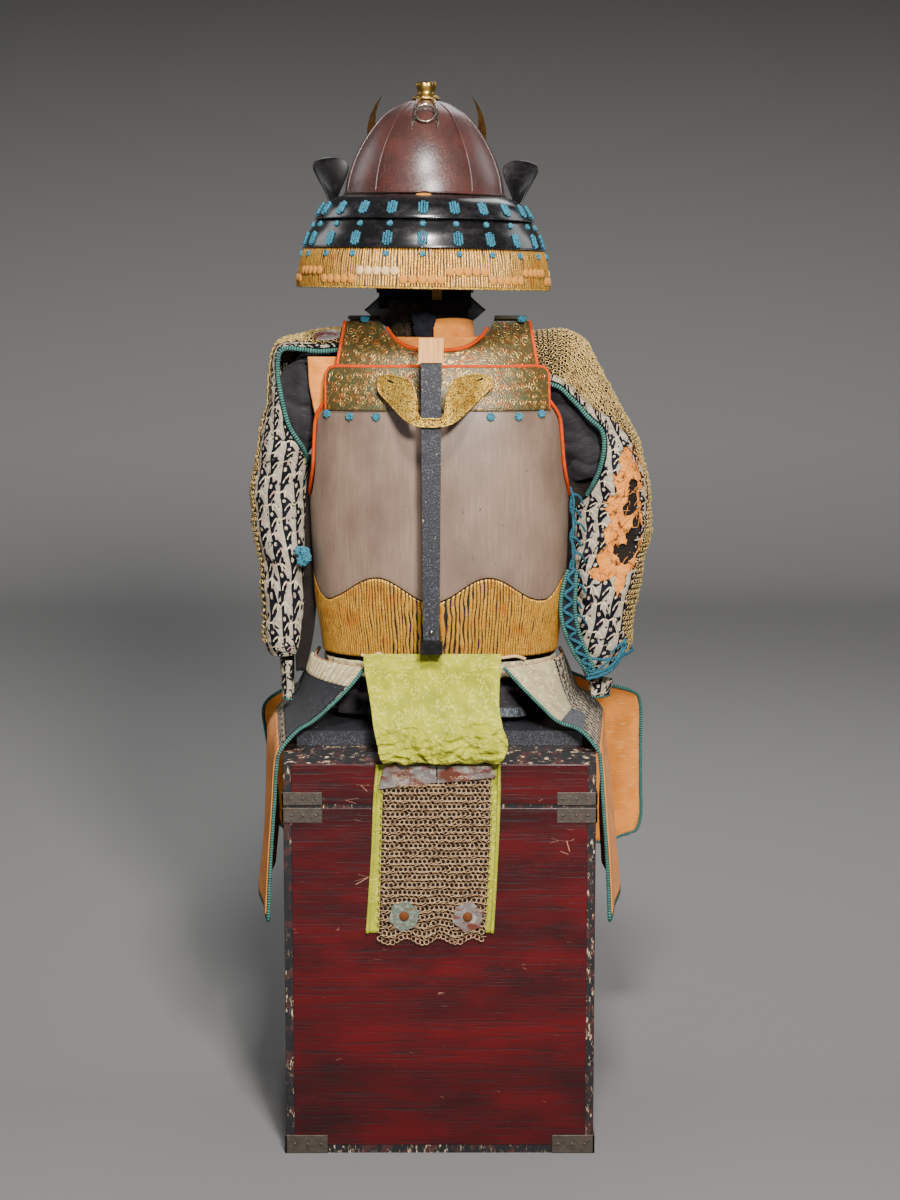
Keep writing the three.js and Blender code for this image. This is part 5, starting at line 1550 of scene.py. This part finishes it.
# Linen shows under the torn brocade, itself holed.
clothPiece("tornLining", linenSurface, 110, 150, "stainedLinen", "tan_linen", 0.9,
           cut=cutLinen)
# painted shadow: a black sheet inside the sleeve darkens what shows through the holes in the linen
clothPiece("sleeveHoleShadow", lambda u, w: sleeveSurface("right", -7)(mix(0.53, 0.92, u),
        mix(0.44, 0.83, w)), 50, 60,
           "sootBlack", "charcoal_cotton", 0.8)
threads = newShape()  # loose threads across the tears
spin = random.Random(11)
for _ in range(70):
    w, u = spin.uniform(0.46, 0.78), spin.uniform(0.6, 0.84)
    start = sleeveSurface("right", 1.6)(u, w) / mm
    turn = spin.uniform(-0.9, 0.9) + math.pi / 2 * spin.choice((0, 1, 1))
    long = spin.uniform(6, 17)
    end = sleeveSurface("right", 2.0)(min(0.95, u + long * math.cos(turn) / 330),
                                      min(0.9, w + long * math.sin(turn) / 560)) / mm
    bend = Vector((spin.uniform(-2, 2), spin.uniform(-2, 0), spin.uniform(-2, 2)))
    layCord(threads, [start, (start + end) / 2 + bend, end], 0.42, 3, 6)
piece("looseThreads", threads, "stainedLinen", "tan_linen")
stampPiece("shoulderDisc", domeStamp("shoulderDisc", 20, 2.6, 24),
           [seat(sleeveSurface("left", 3.4, False), 0.5 - 0.5 * 0.62, 0.035) @ Matrix.Rotation(0.2, 4, "Z")
            @ Matrix.Diagonal((0.62, 1.0, 1, 1))], "rustyIron", "rusty_iron")

underSleeves = {
    "left": ((-147, 1058, 32, 36), (-168, 1053, 35, 38), (-187, 1036, 35, 39), (-198, 1006, 35, 40),
             (-206, 976, 33, 38), (-217, 947, 28, 36), (-222, 926, 27, 34)),
    "right": ((140, 1058, 30, 36), (158, 1050, 33, 38), (176, 1033, 36, 40), (191, 1008, 38, 42),
              (203, 974, 38, 42), (208, 942, 34, 39), (215, 918, 27, 30)),
}


def underSurface(side):
    def surface(u, w):
        x, z, half, deep = rowAlong(underSleeves[side], 1 - w)
        before, after = rowAlong(underSleeves[side], max(0, 0.97 - w)), rowAlong(underSleeves[side],
                min(1, 1.03 - w))
        along = Vector((after[0] - before[0], after[1] - before[1])).normalized()
        turn = 2 * math.pi * u
        crease = 6.5 * abs(wave3((x + 30 * math.cos(turn), 40 * math.sin(turn), z * 1.5 + 1.4 * x), 30,
                                 1.0)) - 1.5
        gather = w * 4.6 + 0.8 * math.sin(turn + 0.6) + 0.5 * wave3((x, z, 60 * math.cos(turn)), 40, 4.0)
        crease += 7 * abs(math.sin(math.pi * gather)) ** 0.5 - 5  # soft rolls between sharp gathers
        across = (half + crease - 1.5 + (7 * ease(w, 0.4, 0.75) if side == "left" else 3)) * math.cos(turn)
        return point(x - along.y * across, (deep + crease - 1.5) * math.sin(turn), z + along.x * across)
    return surface


for side in ("left", "right"):
    clothPiece("underSleeve" + side.capitalize(), underSurface(side), 72, 70, "cotton", "charcoal_cotton",
               1.6, ("under_sleeve_" + side,), ring=True)


def armholeLining(u, w):
    z, outer, inner = rowAt(((985, -168, -152), (1018, -175, -143), (1046, -180, -141), (1085, -182, -141)),
                            mix(985, 1085, w))
    return point(mix(outer, inner, u), -47 - 3 * math.sin(u * math.pi) - 1.2 * wave3((u * 40, w * 100, 0),
            18), z)


clothPiece("armholeLiningLeft", armholeLining, 20, 40, "linen", "tan_linen", 1.6,
           ("armhole_lining_left",))

# Dark sheets close the armpits between the cuirass and the sleeves: painted shade filling the gap there.
armpitShadeSheets = {"Left": ((640, -192, -204), (690, -180, -206), (760, -174, -206), (860, -172, -206),
                    (948, -172, -216)),
           "Right": ((760, 176, 203), (860, 172, 206), (905, 172, 222), (948, 172, 238))}
for title, rows in armpitShadeSheets.items():
    def armpitShadeSurface(u, w, rows=rows):
        z, inner, outer = rowAt(rows, mix(rows[0][0], rows[-1][0], w))
        return point(mix(inner, outer, u), -9 - 3 * math.sin(9 * u + w * 7), z)

    clothPiece("armpitShadeSheet" + title, armpitShadeSurface, 10, 50, "sootBlack", "charcoal_cotton", 1.4)

hands = {"left": (-215, 13, 598, 655), "right": (222, 25, 602, 624)}
for side, (x, half, low, high) in hands.items():
    sign = -1 if side == "left" else 1

    def handSurface(u, w, x=x, half=half, low=low, high=high, sign=sign):
        turn = math.radians(mix(-110, 110, u))
        narrow = mix(0.8, 1, w)
        return point(x + sign * half * narrow * math.cos(turn), 12 + sign * 24 * math.sin(turn),
                     mix(low, high, w))

    clothPiece("handGuard" + side.capitalize(), handSurface, 30, 16, "brocade", "navy_brocade", 2,
               ("hand_guard_" + side,))
    pipe("handEdging" + side.capitalize(), [[handSurface(i / 16, 0.02) / mm for i in range(17)]], radius=1.8,
         count=50, material="greenBraid", slotName="green_braid")

# Blue lacing down the right sleeve's opening and round its wrist: a second strand winds
# along it, with short ends, and a loose end and a loop at the wrist.
lacingLine = ((184, -44, 896), (182, -46, 876), (188, -44, 856), (182, -46, 836), (188, -42, 814),
              (182, -44, 792), (189, -42, 770), (183, -44, 748), (190, -42, 726), (184, -44, 704),
              (192, -40, 684), (204, -44, 668), (226, -46, 662), (252, -36, 664), (270, -10, 668),
              (274, 16, 668), (262, 44, 666), (240, 58, 664))
pipe("sleeveLacing", [lacingLine], ("lacing_cord_right",), radius=2.2, count=160, material="blueCord",
     slotName="blue_cord")
crossing = [[(x + (4 if k % 2 else -3), y - 2.5, z + 9) for k, (x, y, z) in enumerate(lacingLine[:11])]]
crossing += [[(lacingLine[k][0], lacingLine[k][1] - 1.5, lacingLine[k][2]),
              (lacingLine[k][0] + 9, lacingLine[k][1] - 3, lacingLine[k][2] - 4),
              (lacingLine[k][0] + 15, lacingLine[k][1] + 2, lacingLine[k][2] - 14)] for k in range(0, 10)]
crossing += [[(238, -47, 662), (226, -50, 652), (212, -48, 640), (210, -46, 632)],
             [(256, -36, 668), (262, -34, 680), (256, -38, 684), (240, -46, 672)]]
pipe("sleeveLacingTurns", crossing, radius=1.7, count=30, material="blueCord", slotName="blue_cord")
# The right sleeve's opening is edged twice with striped braid, the blue cord zigzagging between.
flap = {"inner": ((178, -52, 790), (171, -58, 764), (168, -61, 739), (171, -60, 715), (178, -57, 694),
                  (188, -54, 672), (199, -51, 656), (208, -49, 643)),
        "outer": ((190, -50, 790), (189, -53, 764), (188, -54, 739), (191, -55, 715), (197, -54, 694),
                  (206, -52, 672), (213, -50, 656), (217, -48, 645))}


def flapSurface(u, w):
    inner, outer = rowAlong(flap["inner"], 1 - w), rowAlong(flap["outer"], 1 - w)
    return point(*[mix(a, b, u) for a, b in zip(inner, outer)]) + Vector((0, 1.2 * mm, 0))


clothPiece("sleeveFlap", flapSurface, 10, 50, "indigo", "navy_brocade", 1.2)
pipe("flapEdging", [flap["inner"], flap["outer"]], radius=3.0, count=90, material="greenBraid",
     slotName="green_braid")
zigzag = [flapSurface(0.2 if k % 2 else 0.8, 1 - k / 16) / mm - Vector((0, 4, 0)) for k in range(17)]
wrist = [[(206, -50, 641 - drop), (222, -52, 645 - drop), (240, -48, 653 - drop), (253, -38, 668 - drop),
          (260, -24, 684 - drop), (263, -6, 692 - drop)] for drop in (0, 5.5)]
pipe("wristCords", [zigzag, *wrist], radius=2.5, count=70, material="blueCord", slotName="blue_cord")
blueKnots = newShape()
knotPlaces = [torsoPoint(torsoAngle(x, z), z, 2.2) for x, z in
              ((-149, 1009), (-118, 1006), (-82, 1006), (71, 1006), (108.5, 1006), (139.5, 1009))]
for spot in knotPlaces:
    aside = math.copysign(max(0.0, abs(spot.x / mm) - 60) * 0.006, spot.x)
    stamp(blueKnots, knotStamp, [Matrix.Translation(spot) @ Matrix.Rotation(aside, 4, "Z")
                                 @ Matrix.Rotation(math.pi / 2, 4,
                                                   "X") @ Matrix.Diagonal((1.35, 1.35, 1.2, 1))])
for x in (-103, 113):
    stamp(blueKnots, knotStamp, [Matrix.Translation(point(x, -40, 1136)) @ Matrix.Rotation(0.9, 4, "X")
                                 @ Matrix.Diagonal((1.5, 1.2, 1.2, 1))])
for k in range(5):  # tuft of knotted cord between the left sleeve and the plate
    stamp(blueKnots, knotStamp, [Matrix.Translation(point(-186 - 2.5 * k, -44 + k,
                                                          806 + 9 * math.sin(k * 1.9)))
                                 @ Matrix.Rotation(math.pi / 2, 4, "X") @ Matrix.Rotation(k * 1.1, 4, "Z")
                                 @ Matrix.Diagonal((1.6, 1.9, 1.4, 1))])
piece("blueKnots", blueKnots, "blueCord", "blue_cord")
print("sleeves made")

# Cloth below the cuirass.

skirtRows = ((592, 158, 128, 9), (612, 150, 116, 7), (636, 148, 104, 4), (662, 148, 100, 1))


def innerSkirt(u, w):
    z, half, deep, pleat = rowAt(skirtRows, mix(592, 662, w))
    turn = 2 * math.pi * u
    swing = pleat * math.sin(11 * turn)
    return point((half + swing) * math.sin(turn), -(deep + swing) * math.cos(turn), z)


def waistSurface(u, w):
    turn = math.radians(mix(-180, 180, u))
    gather = 1.3 * math.sin(turn * 46) * (1 - w) + 0.8 * math.sin(turn * 31 + 2)
    return torsoPoint(turn, mix(646, 668, w), gather - 1 + 1.5 * (1 - w))


clothPiece("innerSkirt", innerSkirt, 220, 14, "cotton", "charcoal_cotton", 2,
           ("inner_skirt",), ring=True)
for side, low, high in (("Left", 0.884, 0.935), ("Right", 0.062, 0.128)):
    def hemSurface(u, w, low=low, high=high):
        here = innerSkirt(mix(low, high, u), mix(0.0, 0.17, w))
        return here + Vector((here.x, here.y, 0)).normalized() * 3.2 * mm

    clothPiece("skirtHem" + side, hemSurface, 24, 8, "silverSilk", "cream_silk", 1.2)
clothPiece("creamWaistband", waistSurface, 300, 6, "creamSilk", "cream_silk", 2,
           ("waistband",), ring=True)

# near edge x y z, far edge x y z, bulge
sidePanels = {
    "left": ((-102, -122, 664, -174, 40, 666, 30), (-120, -138, 643, -186, 52, 645, 24),
             (-142, -154, 622, -198, 64, 624, 14), (-170, -176, 600, -208, 76, 604, 4),
             (-191, -192, 589, -218, 86, 590, 0), (-212, -207, 567, -238, 93, 568, 0),
             (-218, -208, 546, -254, 98, 536, 0), (-222, -208, 490, -250, 102, 490, 3),
             (-228, -208, 410, -244, 106, 410, 8), (-232, -208, 332, -250, 110, 332, 12)),
    "right": ((88, -126, 664, 172, 40, 666, 32), (110, -139, 642, 182, 52, 644, 22),
              (134, -156, 620, 191, 64, 620, 12), (160, -176, 599, 200, 75, 600, 4),
              (189, -192, 590, 213, 85, 591, 0), (211, -207, 567, 236, 92, 567, 0),
              (216, -208, 546, 240, 98, 540, 0), (220, -208, 490, 242, 102, 490, 4),
              (226, -208, 410, 240, 106, 410, 10), (230, -208, 332, 244, 110, 332, 14)),
}


# Panel of a thigh guard; share runs from the near edge to the far one, w from the waist down.
def panelPoint(side, share, w, lift=0.0):
    nearX, nearY, nearZ, farX, farY, farZ, bulge = rowAlong(sidePanels[side], w)
    sign = 1 if side == "right" else -1
    out = bulge * math.sin(math.pi * share)
    ripple = 3.0 * ease(w, 0.55, 0.8) * math.sin(share * 9 + w * 3) * min(1, share * 5)
    return point(mix(nearX, farX, share) + sign * (out + ripple + lift),
                 mix(nearY, farY, share) - out * 0.3 - lift * 0.7, mix(nearZ, farZ, share))


def panelSurface(side, lift=0.0, shares=(0, 1), rows=(0, 1), pointAt=panelPoint, turned="left"):
    def surface(u, w):
        share = mix(shares[0], shares[1], 1 - u if side == turned else u)
        return pointAt(side, share, mix(rows[0], rows[1], 1 - w), lift)
    return surface


# The line of braid down one edge of a panel, along its lower edge and up the other.
def panelBorder(pointAt, side, across):
    border = [pointAt(side, 0.0, i / 40) / mm for i in range(41)]
    border += [pointAt(side, i / across, 1.0) / mm for i in range(1, across + 1)]
    return border + [pointAt(side, 1.0, 1 - i / 40) / mm for i in range(1, 41)]


for side in ("left", "right"):
    title = side.capitalize()
    clothPiece("sidePanel" + title, panelSurface(side, 0.7), 60, 90, "brocade", "navy_brocade", 1.4,
               ("side_panel_" + side,))
    clothPiece("sidePanelLining" + title, panelSurface(side, -0.9, (0.012, 0.988), (0.0, 0.995)), 60, 90,
               "linen", "tan_linen", 1.2)
    pipe("panelEdging" + title, [panelBorder(panelPoint, side, 14)], radius=2.6, count=330,
         material="greenBraid", slotName="green_braid")

clothPiece("creamPatch", panelSurface("right", 3.2, (0, 3 / 7), (0, 3 / 9)), 40, 40, "creamSilk",
           "cream_silk", 1.6, ("cream_patch",))
# the left panel's upper part is faced with indigo cotton, and both hang turned over so that their linen shows


def gatheredBand(u, w):
    return panelSurface("left", 3.6 + 1.1 * math.sin(u * 95) * (0.4 + w), (0.0, 0.8), (-0.0, 0.125))(u, w)


clothPiece("gatheredBand", gatheredBand, 160, 10, "creamSilk", "cream_silk", 1.2)
clothPiece("indigoFacing", panelSurface("left", 3.0, (0.02, 0.86), (0.1, 0.5)), 50, 60, "indigo",
           "charcoal_cotton", 1.2)
clothPiece("silverPatch", panelSurface("right", 3.0, (0.02, 0.42), (0.335, 0.45)), 24, 20, "silverSilk",
           "cream_silk", 1.2)
for side in ("left", "right"):
    clothPiece("turnedLining" + side.capitalize(), panelSurface(side, 2.8, (0.015, 0.97), (0.56, 0.99)), 40,
               60, "linen", "tan_linen", 1.2)

# y, z, inner and outer reach from the middle
frontPanels = {
    "left": ((118, 664, 12, 112), (140, 640, 12, 140), (166, 612, 12, 172), (190, 590, 12, 205),
             (210, 570, 12, 246), (217, 546, 12, 270), (216, 500, 12, 266), (216, 430, 12, 256),
             (217, 380, 12, 252), (218, 340, 12, 240)),
    "right": ((118, 664, 12, 118), (140, 640, 12, 150), (166, 612, 12, 186), (190, 590, 12, 232),
              (210, 572, 12, 290), (217, 552, 12, 304), (216, 500, 12, 305), (216, 430, 12, 306),
              (217, 370, 12, 306), (218, 334, 12, 288)),
}


def frontPoint(side, share, w, lift=0.0):
    y, z, inner, outer = rowAlong(frontPanels[side], w)
    x = mix(inner, outer, share)
    corner = 14 * ease(share, 0.86, 1) * ease(w, 0.93, 1)
    return point((1 if side == "right" else -1) * x, y + 4 * math.sin(x / 26) + lift, z + corner)


for side in ("left", "right"):
    title = side.capitalize()
    clothPiece("frontPanel" + title, panelSurface(side, 0.8, pointAt=frontPoint, turned="right"), 70, 80,
               "brocade", "navy_brocade", 1.4,
               ("front_panel_" + side,))
    clothPiece("frontPanelLining" + title, panelSurface(side, -0.8, (0.01, 0.99), (0, 0.995), frontPoint,
                                                        "right"), 70, 80, "linen",
               "tan_linen", 1.2)
    pipe("frontEdging" + title, [panelBorder(frontPoint, side, 30)], radius=2.6, count=380,
         material="greenBraid", slotName="green_braid")
print("thigh guards made")

# Rear apron.

pouchRows = ((-206, 553, -70, 68, 4), (-220, 551, -74, 76, 4), (-227, 561, -79, 86, 6),
             (-224, 578, -83, 91, 6), (-214, 600, -88, 84, 4), (-196, 624, -92, 80, 3),
             (-170, 650, -98, 81, 2), (-142, 670, -103, 83, 1), (-131, 684, -104, 84, 0.5))


def pouchSurface(u, w):
    y, z, left, right, rumple = rowAlong(pouchRows, w)
    x = mix(left, right, u)
    sag = ease(-w, -0.72, -0.2)
    fold = 0.55 * rumple * (math.sin(x / 12 + w * 5.2 + 2 * wave3((x, 0, z),
            40)) + 0.5 * math.cos(x / 7.3 - w * 6))
    # creases with sharp crests
    sharp = 1 - 2 * abs(wave3((x * 0.8 + z * 0.5, z * 1.5 - x * 0.3, 0), 19, 2.0))
    small = 1 - 2 * abs(wave3((x + z * 0.4, z * 1.8, 5), 9, 7.0))
    long = 1 - 2 * abs(wave3((x * 1.1 + z * 0.25, z * 0.5, 3), 26, 1.0))
    pleats = 1.1 * ease(w, 0.72, 0.85) * math.sin(z / 1.9 + 1.5 * wave3((x, 0, 0), 40)) * ease(abs(x), 15, 60)
    # folds fan out from the middle of the lower edge, where the cloth is caught up
    away = math.hypot(x + 8, z - 546)
    fan = ease(-away, -75, -25) * math.cos(11 * math.atan2(x + 8, z - 546)) * ease(away, 4, 22)
    crumple = (7.2 * sag + 0.9) * sharp + (2.6 * sag + 0.4) * small
    crumple = crumple + 2.6 * long * (1 - sag) + pleats + 3.2 * fan
    return point(x, y - fold - crumple + 4.2 * sag, z + 1.8 * sag * wave3((x, 0, z), 14, 4.0))


clothPiece("apronPouch", pouchSurface, 170, 170, "greenDamask", "green_damask", 1.6,
           ("apron_upper",))
skirtFace = {"y": -203.2, "top": 546, "mailTop": 540}
clothEdges = ((313, -98, 71), (428, -90, 77), (500, -87, 79.5), (546, -83, 79.5))
mailEdges = ((302, -84, 62), (428, -80, 69), (500, -78, 70), (540, -74, 70))


def skirtSurface(u, w):
    z, left, right = rowAt(clothEdges, mix(313, skirtFace["top"], w))
    x = mix(left, right, u)
    return point(x, skirtFace["y"] - 0.6 * math.sin(x / 15 + z / 40), z)


def netSurface(u, w):
    z, left, right = rowAt(mailEdges, mix(302, skirtFace["mailTop"], w))
    x = mix(left, right, u)
    return point(x, skirtFace["y"] - 3.6 - 0.5 * math.sin(x / 12 + z / 22),
                 z + 5 * math.cos(x / 7.2) * (1 - w) ** 6)


clothPiece("apronCloth", skirtSurface, 40, 60, "greenDamask", "green_damask", 1.4,
           ("apron_lower",))
for side, share in (("Left", 0.0), ("Right", 1.0)):
    pipe("apronRoll" + side, [[skirtSurface(share, i / 20) / mm - Vector((0, 1.4, 0)) for i in range(21)]],
         radius=2.6, count=60, material="greenDamask", slotName="green_damask")


def backingSurface(u, w):
    return netSurface(mix(0.012, 0.988, u), mix(0.02, 1, w)) + Vector((0, 1.7 * mm, 0))


clothPiece("netBacking", backingSurface, 60, 60, "sootBlack", "tan_linen", 0.6)
netRing = {"pitch": 6.4, "radius": 3.5, "wire": 0.8, "lean": 0.8}
netRings = newShape()
layMail(netRings, netSurface, 240, lambda u, w: 0.01 < u < 0.99, netRing["pitch"],
        ringStamp("netRing", netRing["radius"], netRing["wire"], 9, 4), netRing["lean"])
piece("apronNet", netRings, "rustyMail", "rusty_mail", nodes=("apron_mail",))

plateOutlines = {"Left": ((-74, 545), (-5, 546), (-4, 522), (-82, 513)),
                 "Right": ((-3, 545), (70, 545), (76, 529), (-3, 521))}
for title, plateCorners in plateOutlines.items():
    plate = newShape()
    low = [plate.verts.new(point(x, skirtFace["y"] - 5.4, z)) for x, z in plateCorners]
    face = plate.faces.new(low)
    pushed = bmesh.ops.extrude_face_region(plate, geom=[face])["geom"]
    moved = [v for v in pushed if isinstance(v, bmesh.types.BMVert)]
    bmesh.ops.translate(plate, vec=(0, -1.8 * mm, 0), verts=moved)
    bmesh.ops.bevel(plate, geom=plate.edges[:], offset=0.6 * mm, affect="EDGES", segments=2, profile=0.5,
                    material=-1)
    piece("apronPlate" + title, plate, "rustyIron", "rusty_iron", smooth=False, outward=True,
          nodes=("apron_plate_" + title.lower(),))

# Six-sided plates on the lowest mail, one green and one rusted, edges eaten away, each with a leather boss.
hexagonRadius = 21
for title, x, z in (("Left", -48, 338), ("Right", 38, 337)):
    disc = newShape()
    bmesh.ops.create_circle(disc, cap_ends=True, segments=72, radius=hexagonRadius * mm)
    for vert in disc.verts:
        turn = math.atan2(vert.co.y, vert.co.x) + 0.2
        side = abs((turn % (math.pi / 3)) - math.pi / 6)
        vert.co *= 0.9 / math.cos(math.pi / 6 - side) + 0.05 * wave3((vert.co / mm), 3.5, x)
    bmesh.ops.inset_region(disc, faces=disc.faces[:], thickness=2.2 * mm, depth=0.8 * mm)
    bmesh.ops.transform(disc, matrix=Matrix.Translation(point(x, skirtFace["y"] - 6.8, z))
                        @ Matrix.Rotation(math.pi / 2, 4, "X"), verts=disc.verts)
    piece("apronHexagon" + title, disc, "verdigris" if title == "Left" else "rustyIron", "rusty_iron",
          wall=1.2, offset=-1, smooth=False)
    stampPiece("apronBoss" + title, domeStamp("boss" + title, 6.8, 3.0, 16),
               [Matrix.Translation(point(x, skirtFace["y"] - 7.6, z)) @ Matrix.Rotation(math.pi / 2, 4, "X")],
               "bossLeather", "tan_linen")
# Plaited ties along the top of the apron, passed through the hem's lowest edge.
ties = [[(x, torsoPoint(torsoAngle(x, 676), 676, 3).y / mm - 2, z) for x, z in line] for line in (
    ((-108, 678), (-96, 674), (-84, 681), (-70, 674)), ((60, 678), (82, 675), (104, 676), (118, 671)))]
pipe("waistTies", ties, radius=2.2, count=30, material="dotCream", slotName="cream_silk")
print("apron made")

# Floor and finish.

backdrop = {"half": 9, "near": -7, "bend": 5.2, "radius": 2, "tall": 6}


# Floor and backdrop are one painted sweep: flat, then bent up behind the armour.
def sweepSurface(u, w):
    x = mix(-backdrop["half"], backdrop["half"], u)
    flat, arc = backdrop["bend"] - backdrop["near"], backdrop["radius"] * math.pi / 2
    along = w * (flat + arc + backdrop["tall"])
    if along < flat:
        return Vector((x, backdrop["near"] + along, 0))
    turn = min(along - flat, arc) / backdrop["radius"]
    return Vector((x, backdrop["bend"] + backdrop["radius"] * math.sin(turn),
                   backdrop["radius"] * (1 - math.cos(turn)) + max(0.0, along - flat - arc)))


floorShape = newShape()
layGrid(floorShape, sweepSurface, 4, 90)
floorMesh = bpy.data.meshes.new("studioFloor")
floorShape.to_mesh(floorMesh)
floorShape.free()
for poly in floorMesh.polygons:
    poly.use_smooth = True
studioFloor = bpy.data.objects.new("studioFloor", floorMesh)
bpy.context.scene.collection.objects.link(studioFloor)
floorFinish, floorTree, floorShader = newFinish("studioFloorPaintedLight", 0.9)
# painted light: the paint is paler towards the bend behind the armour, where less lamp light falls, and
# darker again above it
spread = addNode(floorTree, "ShaderNodeSeparateXYZ", {0: placeOn(floorTree)})
far = addNode(floorTree, "ShaderNodeMapRange", {"Value": spread.outputs[1], "From Min": 0.0,
                                                "From Max": 5600.0}).outputs[0]
low = addNode(floorTree, "ShaderNodeMapRange", {"Value": spread.outputs[2], "From Min": 2500.0,
                                                "From Max": 500.0}).outputs[0]
linkTo(floorTree, floorShader, Base_Color=coats(floorTree, "#757575",
                                                (joined(floorTree, "MULTIPLY", far, low), "#d2d2d2")))
floorMesh.materials.append(floorFinish)
print("all pieces made")
